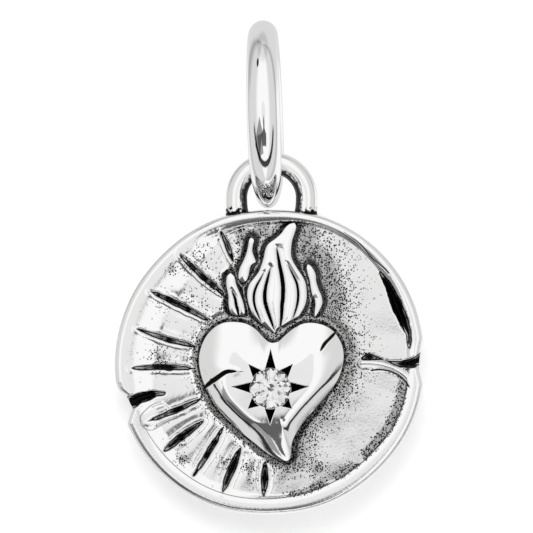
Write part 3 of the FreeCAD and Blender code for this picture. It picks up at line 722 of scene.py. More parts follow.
def build_medal():
    """The medal plate: relief front, rounded edge and flat back."""
    sizes = bpy.context.scene.charm_medal
    angles = np.linspace(0, 2 * np.pi, sizes.segments, endpoint=False)
    radii, edge = medal_rows(angles)
    front = np.array(radii)
    x = MEDAL_CENTRE_X + front * np.cos(angles)
    z = MEDAL_CENTRE_Z + front * np.sin(angles)
    height, fields = medal_relief(x, z)
    fields["stipple"] = stipple_density(x, z, fields)
    # The dark oxide beside the heart widens at its lower right into a painted shadow of the dome.
    bearing = np.arctan2(z - STONE_Z, x - STONE_X)
    shade = smoothstep((np.cos(bearing - math.radians(-48)) - 0.75) / 0.2)
    fields["heart_gap"] = fields["heart_gap"] - 0.2 * MM * shade

    # The rounded front edge, the rounded back edge and the flat back.
    start_y = -height[-1]
    side_y = np.maximum(FRONT_Y + sizes.edge_round, start_y + 0.05 * MM)
    rows_r, rows_y = list(front), list(-height)
    for t in np.linspace(0, math.pi / 2, 9)[1:]:
        rows_r.append(edge - sizes.edge_round * (1 - math.sin(t)))
        rows_y.append(start_y + (side_y - start_y) * (1 - math.cos(t)))
    for t in np.linspace(0, math.pi / 2, 6):
        rows_r.append(edge - sizes.back_round * (1 - math.cos(t)))
        rows_y.append(np.full(angles.shape, BACK_Y - sizes.back_round * (1 - math.sin(t))))
    for share in (0.8, 0.4):
        rows_r.append((edge - sizes.back_round) * share)
        rows_y.append(np.full(angles.shape, BACK_Y))
    rows = ring_rows(MEDAL_CENTRE_X, MEDAL_CENTRE_Z, rows_r, rows_y, angles)

    # The cuts run on over the edge and end on the back's rounding.
    first, extra = len(front), len(rows) - len(front)
    edge_cut = medal_relief(rows[first:, :, 0], rows[first:, :, 2])[1]["cut"] / MM
    edge_cut[EDGE_CUT_ROWS:] = 1.0
    attributes = {}
    for key, far in (("cut", 1.0), ("heart_gap", 5.0), ("flame_gap", 5.0), ("finger", 5.0)):
        value = fields[key] / MM
        attributes[key] = np.concatenate([value, np.repeat(value[-1:] + 0.3, extra, axis=0)]).clip(-1, far)
    attributes["cut"][first:] = edge_cut.clip(-1, 1)
    # A dark line along the rim's inner edge, much darker towards the bottom.
    below = np.cos(np.radians(fields["angle"] - 90))
    rim_edge_dark = np.exp(-np.abs(fields["rim"] / MM - 0.02) / 0.035) * (0.25 + 0.75 * smoothstep(-below * 1.5))
    for key, value in (("stipple", fields["stipple"]), ("rim_edge_dark", rim_edge_dark)):
        attributes[key] = np.concatenate([value, np.zeros((extra, len(angles)))])
    start = (MEDAL_CENTRE_X, rows_y[0].mean(), MEDAL_CENTRE_Z)
    end = (MEDAL_CENTRE_X, BACK_Y, MEDAL_CENTRE_Z)
    medal = ringed_mesh("medal_plate", rows, start, end, attributes, cast_silver())
    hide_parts("medal_disc")
    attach(medal, "medal")


def star_distance(x, z):
    """Signed distance to the engraved star's edge, negative inside, and the share along its ray."""
    sizes = bpy.context.scene.charm_heart
    centre = np.array([STONE_X, STONE_Z])
    best = np.full(x.shape, 1.0 * MM)
    share = np.ones(x.shape)
    for tip in photo_points(STAR_TIPS_PX):
        reach = np.hypot(*(tip - centre))
        ux, uz = (tip - centre) / reach
        along = (x - centre[0]) * ux + (z - centre[1]) * uz
        across = np.abs((x - centre[0]) * uz - (z - centre[1]) * ux)
        run = np.clip((along - STONE_RADIUS) / (reach - STONE_RADIUS), 0, 1)
        half = sizes.star_root / 2 * (1 - run) ** 1.15
        d = np.where(along > 0, np.maximum(across - half, along - reach), 1.0 * MM)
        closer = d < best
        best = np.where(closer, d, best)
        share = np.where(closer, run, share)
    return best, share


def heart_relief(x, z, inset):
    """How far the heart stands out over the moat, with the distances to its star and to any of its cuts."""
    sizes = bpy.context.scene.charm_heart
    full = MOAT_Y - HEART_TOP_Y
    upper = smoothstep((z - STONE_Z + 0.3 * MM) / (2.4 * MM))
    flank = sizes.lower_flank + (sizes.upper_flank - sizes.lower_flank) * upper
    t = np.clip(inset / flank, 0, 1)
    dome = sizes.wall_share + (1 - sizes.wall_share) * (1 - (1 - t) ** 1.7)
    away = np.hypot(x - STONE_X, z - STONE_Z) / PLATEAU_RADIUS
    height = full * dome - sizes.plateau_drop * away**2 * t
    height = height + HEART_WAVE * soft_noise(x, z, HEART_WAVE_SIZE, 8) * t
    height = height - sizes.tip_drop * smoothstep((STONE_Z - TIP_START - z) / TIP_LENGTH) * t
    for _ in range(sizes.softening):
        inner = height[1:-1]
        sides = np.roll(inner, 1, axis=1) + np.roll(inner, -1, axis=1)
        height[1:-1] = 0.5 * inner + 0.125 * (height[:-2] + height[2:] + sides)
        height[0] = height[1]
    star, share = star_distance(x, z)
    depth = sizes.star_depth * (1 - share) * np.clip(-star / (sizes.star_root / 2), 0, 1) ** 0.55
    height = height - np.where(star < 0, depth, 0)
    cut = star
    for path, width in grooves(HEART_CRACKS_PX):
        d, side = groove_distance(x, z, path, width)
        d = d + CRACK_WAVE * soft_noise(x, z, CUT_WAVE_SIZE, 21)
        cut = np.minimum(cut, d)
        height = height - CRACK_DEPTH * np.clip(-d / (width / 2), 0, 1) * t
        height = height + CRACK_LIP * np.where(side > 0, 1, 0.3) * np.exp(-((d / CRACK_LIP_WIDTH) ** 2)) * t
    height[-1] = np.minimum(height[-1], full * sizes.wall_share)
    return height, star, cut


def stone_seat(mouth, top_y, in_star):
    """Radii and depths of the seat's rings: a cone, the ledge under the girdle, and the lip over it."""
    girdle = STONE_LOW.y + (STONE_HIGH.y - STONE_LOW.y) * GIRDLE_SHARE
    slope = (STONE_HIGH.y + 0.03 * MM - girdle) / STONE_RADIUS
    seat = [
        (STONE_RADIUS * share, girdle + 0.1 * MM + slope * STONE_RADIUS * (1 - share))
        for share in (0.2, 0.4, 0.6, 0.8, 0.95)
    ]
    ledge = STONE_RADIUS + 0.015 * MM
    seat += [(ledge, girdle + 0.08 * MM), (ledge, girdle - 0.02 * MM), (mouth, girdle - 0.06 * MM)]
    seat_r = [np.full(top_y.shape, r) for r, _ in seat]
    seat_y = [np.minimum(np.full(top_y.shape, y), MOAT_Y) for _, y in seat]
    # In a ray of the star the lip is cut down to the ray's floor.
    seat_y[-1] = np.where(in_star, np.maximum(seat_y[-1], top_y), seat_y[-1])
    return seat_r, seat_y


def build_heart():
    """The domed heart with the star, the stone's seat and two cracks."""
    sizes = bpy.context.scene.charm_heart
    angles = np.linspace(0, 2 * np.pi, sizes.segments, endpoint=False)
    outline = heart_outline()
    dx, dz = outline[:, 0] - STONE_X, outline[:, 1] - STONE_Z
    turn = np.mod(np.arctan2(dz, dx), 2 * np.pi)
    order = np.argsort(turn)
    reach = np.interp(angles, turn[order], np.hypot(dx, dz)[order], period=2 * np.pi)
    mouth = STONE_RADIUS - SEAT_LIP
    # The rings lie closer together near the outline.
    spread = np.linspace(0, 1, sizes.rows)
    spread = spread * 0.45 + (1 - (1 - spread) ** 2) * 0.55
    radius = mouth + (reach - mouth) * spread[:, None]
    x = STONE_X + radius * np.cos(angles)
    z = STONE_Z + radius * np.sin(angles)
    inset = path_distance(x, z, outline, closed=True)[0]
    inset[-1] = 0
    height, star, cut = heart_relief(x, z, inset)
    rows_r, rows_y = list(radius), list(MOAT_Y - height)
    seat_r, seat_y = stone_seat(mouth, rows_y[0], star[0] < 0)
    # The wall goes down from the outline into the plate. Its edge values keep oxide along its foot.
    wall_edge = np.array([0.03, 0.12, 0.12, 0.03, 0.0])
    foot_y = rows_y[-1]
    for k in range(1, len(wall_edge) + 1):
        rows_r.append(reach * (1 + 0.004 * math.sin(math.pi * k / len(wall_edge))))
        rows_y.append(foot_y + (MOAT_Y + HEART_ROOT - foot_y) * k / len(wall_edge))
    rows = ring_rows(STONE_X, STONE_Z, seat_r + rows_r, seat_y + rows_y, angles)
    in_seat, on_wall = np.ones((len(seat_r), len(angles))), np.ones((len(wall_edge), len(angles)))
    attributes = {
        "cut": np.concatenate([in_seat, cut / MM, on_wall]),
        "edge": np.concatenate([in_seat * 5.0, inset / MM, on_wall * wall_edge[:, None]]),
    }
    start = (STONE_X, min(STONE_HIGH.y + 0.05 * MM, MOAT_Y), STONE_Z)
    end = (STONE_X, MOAT_Y + HEART_ROOT, STONE_Z)
    heart = ringed_mesh("heart_dome", rows, start, end, attributes, polished_silver())
    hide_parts("heart")
    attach(heart, "medal")


def build_flame(name, node, sides_px, grooves_px):
    """One flame: rows of points from foot to tip, rounded between its edges and its grooves."""
    sizes = bpy.context.scene.charm_flame
    left, right = (photo_points(smooth_path(side, steps=8)) for side in sides_px)
    low, high = left[0, 1], left[-1, 1]
    # The rows lie closer together near the tips, and the columns near the sides.
    levels = low + (high - low) * (1 - np.cos(np.linspace(0.04, math.pi - 0.04, sizes.rows))) / 2
    edges = []
    for side in (left, right):
        order = np.argsort(side[:, 1])
        edges.append(np.interp(levels, side[order, 1], side[order, 0]))
    width = np.maximum(edges[1] - edges[0], 0.01 * MM)
    across = max(40, int(FLAME_COLUMNS * width.max() / FLAME_WIDTH))
    u = (1 - np.cos(np.linspace(0, math.pi, across))) / 2
    u = u * 0.35 + np.linspace(0, 1, across) * 0.65
    x = edges[0][:, None] + width[:, None] * u
    z = np.repeat(levels[:, None], across, axis=1)
    edge = path_distance(x, z, flame_outline(sides_px), closed=True)[0]
    edge[:, 0] = edge[:, -1] = 0
    cut = np.full(x.shape, 1.0 * MM)
    for path, groove_width in grooves(grooves_px):
        cut = np.minimum(cut, groove_distance(x, z, path, groove_width)[0])
    full = MOAT_Y - FLAME_TOP_Y
    nearest = np.minimum(edge, np.maximum(cut, 0) + 0.04 * MM)
    t = np.clip(nearest / sizes.shoulder, 0, 1)
    height = sizes.edge_height + (full - sizes.edge_height) * (1 - (1 - t) ** 2) ** 0.9
    height = height - GROOVE_DEPTH * np.clip(-cut / GROOVE_SLOPE, 0, 1) ** 0.7
    end_fade = smoothstep(np.minimum(z - low, high - z) / FLAME_END)
    height = sizes.edge_height + (height - sizes.edge_height) * (0.55 + 0.45 * end_fade)
    # The foot of the right edge, three points under the flame, and the foot of the left edge.
    under = np.linspace(0.75, 0.25, 3)
    rows_x = np.concatenate([x, x[:, -1:], edges[0][:, None] + width[:, None] * under, x[:, :1]], axis=1)
    extra = (len(levels), rows_x.shape[1] - across)
    rows_y = np.concatenate([MOAT_Y - height, np.full(extra, MOAT_Y + FLAME_ROOT)], axis=1)
    rows_z = np.repeat(levels[:, None], rows_x.shape[1], axis=1)
    rows = np.stack([rows_x, rows_y, rows_z], axis=2)
    attributes = {
        "cut": np.concatenate([cut / MM, np.ones(extra)], axis=1),
        "edge": np.concatenate([edge / MM, np.zeros(extra)], axis=1),
    }
    start, end = rows[0].mean(axis=0), rows[-1].mean(axis=0)
    flame = ringed_mesh(name, rows, start, end, attributes, polished_silver("flame_silver", 0.1, -0.05))
    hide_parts(node)
    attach(flame, "medal")


def build_flames():
    """The four flames."""
    for name, (node, sides_px, grooves_px) in FLAMES.items():
        build_flame(name, node, sides_px, grooves_px)


def build_eye():
    """The hanging eye: a half ring of round wire on two legs with solder at the feet."""
    sizes = bpy.context.scene.charm_eye
    low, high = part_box("hanging_eye")
    centre_x = (low.x + high.x) / 2
    wire = sizes.wire_diameter / 2
    bend = sizes.bend_radius
    medal_radius = bpy.context.scene.charm_medal.radius
    centre_z = high.z - wire - bend
    foot_z = MEDAL_CENTRE_Z + medal_radius * EDGE_SHARES[4] * math.sin(math.acos(bend / medal_radius))
    leg = np.linspace(foot_z - sizes.root, centre_z, 26)[:-1]
    # Each point of the wire's path, and the direction out of the arch.
    path = [(centre_x - bend, z, -1.0, 0.0) for z in leg]
    for t in np.linspace(0, math.pi, 80):
        nx, nz = -math.cos(t), math.sin(t)
        path.append((centre_x + bend * nx, centre_z + bend * nz, nx, nz))
    path += [(centre_x + bend, z, 1.0, 0.0) for z in leg[::-1]]
    section = np.linspace(0, 2 * np.pi, 44, endpoint=False)
    rows, foot, inner = [], [], []
    for px, pz, nx, nz in path:
        above = max(pz - foot_z, 0)
        radius = wire + sizes.foot_flare * math.exp(-above / FILLET_HEIGHT) * (1 if pz <= centre_z else 0)
        outward = np.cos(section)
        radial = np.where(outward > 0, wire, radius)
        out = outward * radial
        rows.append(np.stack([px + nx * out, -np.sin(section) * wire, pz + nz * out], axis=1))
        foot.append(np.full(section.shape, (pz - foot_z) / MM))
        inner.append(-outward)
    rows = np.array(rows)
    eye = ringed_mesh(
        "hanging_eye_wire", rows, rows[0].mean(axis=0), rows[-1].mean(axis=0),
        {"foot": np.array(foot), "inner": np.array(inner)}, eye_silver(),
    )
    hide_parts("hanging_eye")
    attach(eye, "medal")


def build_stone():
    """The round brilliant: the hull of its facets' corners, with flat facets."""
    sizes = bpy.context.scene.charm_stone
    radius = STONE_RADIUS
    crown = math.tan(sizes.crown_angle)
    pavilion = math.tan(sizes.pavilion_angle)
    table_r = sizes.table_share * radius
    rise = (radius - table_r) * crown
    girdle_y = STONE_LOW.y + rise
    half = math.pi / 8
    corners = []

    def ring(reach, y, turn, count=8):
        for k in range(count):
            a = turn + 2 * math.pi * k / count
            corners.append((STONE_X + reach * math.cos(a), y, STONE_Z + reach * math.sin(a)))

    ring(table_r, STONE_LOW.y, 0)
    star_r = STAR_SHARE * radius
    ring(star_r, girdle_y - (radius - star_r * math.cos(half)) * crown, half)
    ring(radius, girdle_y, 0, 16)
    low_y = girdle_y + sizes.girdle
    ring(radius, low_y, 0, 16)
    deep_r = LOWER_SHARE * radius
    ring(deep_r, low_y + (radius - deep_r * math.cos(half)) * pavilion, half)
    corners.append((STONE_X, low_y + radius * pavilion, STONE_Z))
    body = bmesh.new()
    for corner in corners:
        body.verts.new(corner)
    bmesh.ops.convex_hull(body, input=body.verts)
    loose = [vert for vert in body.verts if not vert.link_faces]
    bmesh.ops.delete(body, geom=loose, context="VERTS")
    bmesh.ops.dissolve_limit(body, angle_limit=math.radians(0.5), verts=body.verts, edges=body.edges)
    bmesh.ops.recalc_face_normals(body, faces=body.faces)
    mesh = bpy.data.meshes.new("round_brilliant")
    body.to_mesh(mesh)
    body.free()
    mesh.materials.append(clear_stone())
    stone = add_object("round_brilliant", mesh)
    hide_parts("gemstone")
    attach(stone, "medal")


class Nodes:
    """Adds nodes to a tree. An input takes a plain value or another node's output."""

    def __init__(self, tree):
        self.tree = tree

    def put(self, value, socket):
        """Links an output to a socket, or sets its value."""
        if isinstance(value, bpy.types.NodeSocket):
            self.tree.links.new(value, socket)
        else:
            socket.default_value = value

    def fill(self, node, *values, **named):
        """Fills a node's inputs, first in order and then by name, where _ stands for a space."""
        for value, socket in zip(values, node.inputs):
            self.put(value, socket)
        for name, value in named.items():
            self.put(value, node.inputs[name.replace("_", " ")])
        return node

    def add(self, kind, *values, **named):
        """A new node with its inputs filled."""
        return self.fill(self.tree.nodes.new(kind), *values, **named)

    def math(self, operation, *values):
        """The result of a Math node."""
        node = self.tree.nodes.new("ShaderNodeMath")
        node.operation = operation
        return self.fill(node, *values).outputs[0]

    def times(self, first, *others):
        """The product of the values."""
        for other in others:
            first = self.math("MULTIPLY", first, other)
        return first

    def most(self, first, *others):
        """The greatest of the values."""
        for other in others:
            first = self.math("MAXIMUM", first, other)
        return first

    def ramp(self, value, low, high, start=0.0, end=1.0):
        """A soft ramp from start at low to end at high."""
        ends = {"From_Min": low, "From_Max": high, "To_Min": start, "To_Max": end}
        node = self.add("ShaderNodeMapRange", Value=value, **ends)
        node.interpolation_type = "SMOOTHSTEP"
        return node.outputs["Result"]

    def noise(self, vector, scale, detail=2.0):
        """Noise from 0 to 1."""
        return self.add("ShaderNodeTexNoise", Vector=vector, Scale=scale, Detail=detail).outputs["Fac"]


SOCKET_KINDS = {float: "NodeSocketFloat", int: "NodeSocketInt", bpy.types.Material: "NodeSocketMaterial"}


def bail_tree(values):
    """A Geometry Nodes tree that bends a grid into a tapered ring of oval wire. Each value is an input."""
    tree = bpy.data.node_groups.new("bail_ring_wire", "GeometryNodeTree")
    for name, value in values.items():
        tree.interface.new_socket(name, in_out="INPUT", socket_type=SOCKET_KINDS[type(value)])
    tree.interface.new_socket("Geometry", in_out="OUTPUT", socket_type="NodeSocketGeometry")
    nodes = Nodes(tree)
    calc, times = nodes.math, nodes.times
    given = nodes.add("NodeGroupInput").outputs
    grid = nodes.add(
        "GeometryNodeMeshGrid", Size_X=2 * math.pi, Size_Y=2 * math.pi,
        Vertices_X=given["Segments"], Vertices_Y=given["Sides"],
    )
    place = nodes.add("GeometryNodeInputPosition").outputs[0]
    turn, around, _ = nodes.add("ShaderNodeSeparateXYZ", place).outputs
    # The wire narrows towards the ring's bottom and towards its top.
    width = given["Side Width"]
    for wave, end in (("COSINE", "Bottom"), ("SINE", "Top")):
        nearness = calc("POWER", calc("ABSOLUTE", calc(wave, times(turn, 0.5))), given[f"{end} Power"])
        loss = times(calc("SUBTRACT", given["Side Width"], given[f"{end} Width"]), nearness)
        width = calc("SUBTRACT", width, loss)
    half_depth = times(given["Wire Depth"], 0.5)
    middle = calc("SUBTRACT", given["Outer Radius"], half_depth)
    reach = calc("ADD", middle, times(half_depth, calc("COSINE", around)))
    across = times(width, 0.5, calc("SINE", around))
    back, up = (times(reach, calc(wave, turn), -1) for wave in ("SINE", "COSINE"))
    bent = nodes.add("ShaderNodeCombineXYZ", across, back, up).outputs[0]
    bend = nodes.add("GeometryNodeSetPosition", Geometry=grid.outputs["Mesh"], Position=bent)
    weld = nodes.add("GeometryNodeMergeByDistance", Geometry=bend.outputs[0], Distance=0.002 * MM)
    tilt = nodes.add("ShaderNodeCombineXYZ", Y=times(given["Lean"], -1)).outputs[0]
    lean = nodes.add("GeometryNodeTransform", Geometry=weld.outputs[0], Rotation=tilt)
    smooth = nodes.add("GeometryNodeSetShadeSmooth", Geometry=lean.outputs[0])
    real = nodes.add("GeometryNodeRealizeInstances", smooth.outputs[0])
    paint = nodes.add("GeometryNodeSetMaterial", Geometry=real.outputs[0], Material=given["Material"])
    nodes.add("NodeGroupOutput", paint.outputs[0])
    return tree


def build_bail():
    """The bail ring, made by its Geometry Nodes tree and turned into a plain mesh."""
    sizes = bpy.context.scene.charm_bail
    values = {key.replace("_", " ").title(): getattr(sizes, key) for key in CharmBail.__annotations__}
    values["Material"] = bail_silver()
    maker = add_object("bail_maker", bpy.data.meshes.new("bail_maker"))
    modifier = maker.modifiers.new("ring", "NODES")
    modifier.node_group = bail_tree(values)
    for item in modifier.node_group.interface.items_tree:
        if item.in_out == "INPUT":
            modifier[item.identifier] = values[item.name]
    mesh = bpy.data.meshes.new_from_object(maker.evaluated_get(bpy.context.evaluated_depsgraph_get()))
    mesh.name = "bail_ring_wire"
    bpy.data.objects.remove(maker)
    ring = add_object("bail_ring_wire", mesh)
    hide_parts("bail_ring")
    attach(ring, "bail")


class Shader(Nodes):
    """A material under construction."""

    def __init__(self, name):
        self.material = bpy.data.materials.new(name)
        self.material.use_nodes = True
        super().__init__(self.material.node_tree)
        self.main = self.tree.nodes["Principled BSDF"]

    def attribute(self, name):
        """A value stored on the mesh's points."""
        node = self.tree.nodes.new("ShaderNodeAttribute")
        node.attribute_name = name
        return node.outputs["Fac"]

    def place(self):
        """Object coordinates."""
        return self.add("ShaderNodeTexCoord").outputs["Object"]

    def mix(self, share, first, second):
        """A colour mix."""
        node = self.tree.nodes.new("ShaderNodeMix")
        node.data_type = "RGBA"
        return self.fill(node, Factor=share, A=first, B=second).outputs["Result"]

    def group(self, tree, **named):
        """The outputs of a node group whose inputs are filled by name."""
        node = self.tree.nodes.new("ShaderNodeGroup")
        node.node_tree = tree
        return self.fill(node, **named).outputs


def shader_group(name, inputs, outputs):
    """A new shader node group, with its inputs and its outputs. Only Vector isn't a number."""
    tree = bpy.data.node_groups.new(name, "ShaderNodeTree")
    for in_out, keys in (("INPUT", inputs), ("OUTPUT", outputs)):
        for key in keys:
            kind = "NodeSocketVector" if key == "Vector" else "NodeSocketFloat"
            tree.interface.new_socket(key, in_out=in_out, socket_type=kind)
    nodes = Nodes(tree)
    return nodes, nodes.add("NodeGroupInput").outputs, nodes.add("NodeGroupOutput").inputs


def punched_dots():
    """Node group: a mask of punched dots whose number follows a density."""
    made = bpy.data.node_groups.get("punched_dots")
    if made:
        return made
    nodes, given, result = shader_group("punched_dots", ("Vector", "Scale", "Density", "Size"), ("Mask",))
    cells = nodes.add("ShaderNodeTexVoronoi", Vector=given["Vector"], Scale=given["Scale"]).outputs
    lot = nodes.add("ShaderNodeSeparateColor", cells["Color"]).outputs[0]
    chosen = nodes.math("LESS_THAN", lot, given["Density"])
    reach = nodes.math("SUBTRACT", given["Size"], cells["Distance"])
    nodes.put(nodes.times(chosen, nodes.ramp(reach, -0.05, 0.05)), result["Mask"])
    return nodes.tree


def fine_wear():
    """Node group: faint polishing marks, as a roughness and a height."""
    made = bpy.data.node_groups.get("fine_wear")
    if made:
        return made
    inputs, outputs = ("Vector", "Roughness", "Spread"), ("Roughness", "Height")
    nodes, given, result = shader_group("fine_wear", inputs, outputs)
    centred = nodes.math("SUBTRACT", nodes.noise(given["Vector"], 900.0, 4.0), 0.5)
    nodes.put(nodes.math("MULTIPLY_ADD", centred, given["Spread"], given["Roughness"]), result["Roughness"])
    nodes.put(nodes.noise(given["Vector"], 6000.0), result["Height"])
    return nodes.tree


def finish_metal(shader, wear, bump, dark=None, height=None):
    """Silver where dark is 0 and the oxide colour where it is 1, which on the medal also paints shade, with a
    bump from the height or else from the wear.
    """
    finish = bpy.context.scene.charm_finish
    colour, rough = (*finish.silver, 1), wear["Roughness"]
    if dark is not None:
        colour = shader.mix(dark, colour, (*finish.oxide, 1))
        rough = shader.math("ADD", shader.times(dark, OXIDE_ROUGHNESS), rough)
    marks = shader.add("ShaderNodeBump", Strength=bump, Distance=0.02 * MM, Height=height or wear["Height"])
    shader.fill(shader.main, Base_Color=colour, Metallic=1.0, Roughness=rough, Normal=marks.outputs[0])
    return shader.material


def cast_silver():
    """The medal's finish: bright cast silver, punched dots, oxide in the cuts, and painted shade beside the
    relief.
    """
    shader = Shader("cast_silver")
    place, ramp, times = shader.place(), shader.ramp, shader.times
    wear = shader.group(fine_wear(), Vector=place, Roughness=0.13, Spread=0.08)
    density = shader.attribute("stipple")
    small = shader.group(punched_dots(), Vector=place, Scale=9200.0, Density=density, Size=0.46)["Mask"]
    few = times(density, 0.4)
    large = shader.group(punched_dots(), Vector=place, Scale=6600.0, Density=few, Size=0.4)["Mask"]
    dots = times(shader.most(small, large), ramp(density, 0.03, 0.4, 0.4, 1.0))
    # Each cut is black, with a broken grey line of light on its wall.
    inside = shader.attribute("cut")
    wall = times(ramp(inside, -0.15, -0.11), ramp(inside, -0.085, -0.06, 1.0, 0.0))
    gleam = times(wall, ramp(shader.noise(place, 2600.0), 0.36, 0.5, 0.0, 0.62))
    cut = times(ramp(inside, -0.03, 0.02, 1.0, 0.0), shader.math("SUBTRACT", 1.0, gleam))
    # Speckled oxide lies round the relief. The grey fill where the dots lie thickest is partly painted shade,
    # and the wider dark band at the heart's lower right is painted shadow.
    speckled = ramp(shader.noise(place, 7000.0), 0.42, 0.6, 1.0, 0.8)
    heart = ramp(shader.attribute("heart_gap"), 0.15, 0.23, 1.0, 0.0)
    flame = ramp(shader.attribute("flame_gap"), 0.04, 0.15, 0.85, 0.0)
    crease = times(shader.most(heart, flame), speckled)
    # Partly painted shade: grey wherever the dots lie thickest.
    shade = times(ramp(density, 0.45, 0.85, 0.0, 0.5), speckled)
    finger = ramp(shader.attribute("finger"), 0.02, 0.06, 0.55, 0.0)
    # A dark line along the rim's inner edge, much darker towards the bottom.
    rim_edge_dark = ramp(shader.attribute("rim_edge_dark"), 0.3, 0.9, 0.0, 0.85)
    dark = shader.most(dots, shade, cut, crease, finger, rim_edge_dark)
    pits = shader.math("SUBTRACT", wear["Height"], times(small, 2.0))
    return finish_metal(shader, wear, 0.25, dark, pits)


def polished_silver(name="polished_silver_relief", roughness=0.07, core=-0.02):
    """The relief's finish: polished silver with oxide in its cuts and at its foot."""
    made = bpy.data.materials.get(name)
    if made:
        return made
    shader = Shader(name)
    wear = shader.group(fine_wear(), Vector=shader.place(), Roughness=roughness, Spread=0.06)
    cut = shader.ramp(shader.attribute("cut"), core, 0.012, 1.0, 0.0)
    edge = shader.ramp(shader.attribute("edge"), 0.012, 0.045, 1.0, 0.0)
    return finish_metal(shader, wear, 0.06, shader.most(cut, edge))


def eye_silver():
    """The hanging eye's finish: polished outside, oxidised inside the arch and at the solder."""
    shader = Shader("eye_silver")
    place = shader.place()
    wear = shader.group(fine_wear(), Vector=place, Roughness=0.09, Spread=0.08)
    speckle = shader.noise(place, 4500.0, 3.0)
    inner = shader.math("ADD", shader.attribute("inner"), shader.times(speckle, 0.9))
    foot = shader.math("ADD", shader.attribute("foot"), shader.times(speckle, 1.6))
    dark = shader.most(shader.ramp(inner, 0.86, 1.08, 0.0, 0.92), shader.ramp(foot, 0.98, 1.12, 1.0, 0.0))
    return finish_metal(shader, wear, 0.1, dark)


def bail_silver():
    """The bail ring's finish: bright polished silver with faint wear."""
    shader = Shader("bail_silver")
    wear = shader.group(fine_wear(), Vector=shader.place(), Roughness=0.06, Spread=0.05)
    return finish_metal(shader, wear, 0.04)


def clear_stone():
    """The stone: clear glass with a high index."""
    shader = Shader("clear_stone")
    shader.fill(shader.main, Base_Color=(0.985, 0.985, 0.99, 1), Roughness=0.0, IOR=2.1)
    shader.fill(shader.main, Transmission_Weight=1.0)
    return shader.material


def build_world():
    """A white tent: plain light for matt surfaces, and soft bands for what metal and glass show."""
    world = bpy.data.worlds.new("tent")
    world.use_nodes = True
    bpy.context.scene.world = world
    world.node_tree.nodes.clear()
    nodes = Nodes(world.node_tree)
    calc, times, ramp = nodes.math, nodes.times, nodes.ramp

    def band(value, low, high, soft, strength):
        return times(ramp(value, low - soft, low, 0.0, strength), ramp(value, high, high + soft, 1.0, 0.0))

    direction = nodes.add("ShaderNodeTexCoord").outputs["Generated"]
    sideways, depth, up = nodes.add("ShaderNodeSeparateXYZ", direction).outputs
    level_run = calc("SQRT", calc("SUBTRACT", 1.0, times(up, up)))
    swing = calc("DIVIDE", sideways, nodes.most(level_run, 0.001))
    azimuth = calc("ARCTAN2", sideways, times(depth, -1.0))
    off_axis = calc("SQRT", calc("ADD", times(sideways, sideways), times(up, up)))
    in_front = ramp(depth, -0.1, 0.05, 1.0, 0.0)

    # Light grey straight ahead and overhead, white between.
    level = nodes.most(ramp(off_axis, 0.17, 0.25, 0.85, 1.0), ramp(depth, -0.3, 0.0))
    level = times(level, ramp(up, 0.84, 0.97, 1.0, 0.76))
    # Grey walls with dark edges at both sides, and grey behind.
    shades = [band(azimuth, *wall) for wall in TENT_WALLS]
    shades.append(times(ramp(depth, -0.05, 0.2, 0.0, 0.28), ramp(up, 0.1, 0.4)))
    shades.append(times(ramp(depth, 0.8, 0.87, 0.0, 0.26), ramp(up, 0.1, 0.4, 1.0, 0.0)))
    # Low in front: a grey sheet and strip at the left, a dark wedge in the middle, and a thin dark hoop.
    low_left = calc("ADD", times(sideways, -0.72), times(up, -0.69))
    across = calc("ABSOLUTE", calc("SUBTRACT", times(sideways, -0.69), times(up, -0.72)))
    sheet = times(band(low_left, 0.40, 0.93, 0.02, 0.68), ramp(across, 0.21, 0.25, 1.0, 0.0))
    strip = times(band(up, -0.78, -0.45, 0.02, 0.66), band(azimuth, -0.8, -0.2, 0.03, 1.0))
    half_width = ramp(up, -0.46, -0.34, 0.25, 0.06)
    from_middle = calc("ABSOLUTE", calc("ADD", swing, -0.02))
    wedge = ramp(calc("SUBTRACT", from_middle, half_width), 0.0, 0.03, 0.88, 0.0)
    wedge = times(wedge, ramp(up, -0.69, -0.66), ramp(up, -0.22, -0.04, 1.0, 0.0))
    hoop = times(band(off_axis, 0.89, 0.94, 0.015, 0.95), ramp(up, -0.3, -0.12, 1.0, 0.0))
    shades += [times(shade, in_front) for shade in (sheet, strip, wedge, hoop)]
    # A small dark card high at the left.
    nearness = nodes.tree.nodes.new("ShaderNodeVectorMath")
    nearness.operation = "DOT_PRODUCT"
    nodes.fill(nearness, direction, DARK_CARD_DIRECTION)
    shades.append(ramp(nearness.outputs["Value"], 0.992, 0.996, 0.0, 0.97))
    for shade in shades:
        level = times(level, calc("SUBTRACT", 1.0, shade))

    # The stone sends back light from the front, broken up by small dark patches.
    waves = times(calc("SINE", times(sideways, 13.0)), calc("SINE", calc("ADD", times(up, 13.0), 0.8)))
    patches = times(ramp(waves, -0.1, 0.05, 0.0, 0.95), ramp(off_axis, 0.25, 0.42, 0.12, 1.0))
    gem = times(ramp(depth, -0.76, -0.62, 1.0, 0.02), calc("SUBTRACT", 1.0, patches))
    rays = nodes.add("ShaderNodeLightPath").outputs
    shown = nodes.add("ShaderNodeBackground", WHITE, 0.55)
    for ray, colour in (("Is Glossy Ray", level), ("Is Transmission Ray", gem), ("Is Camera Ray", WHITE)):
        seen = nodes.add("ShaderNodeBackground", colour, 1.0)
        shown = nodes.add("ShaderNodeMixShader", rays[ray], shown.outputs[0], seen.outputs[0])
    nodes.add("ShaderNodeOutputWorld", shown.outputs[0])


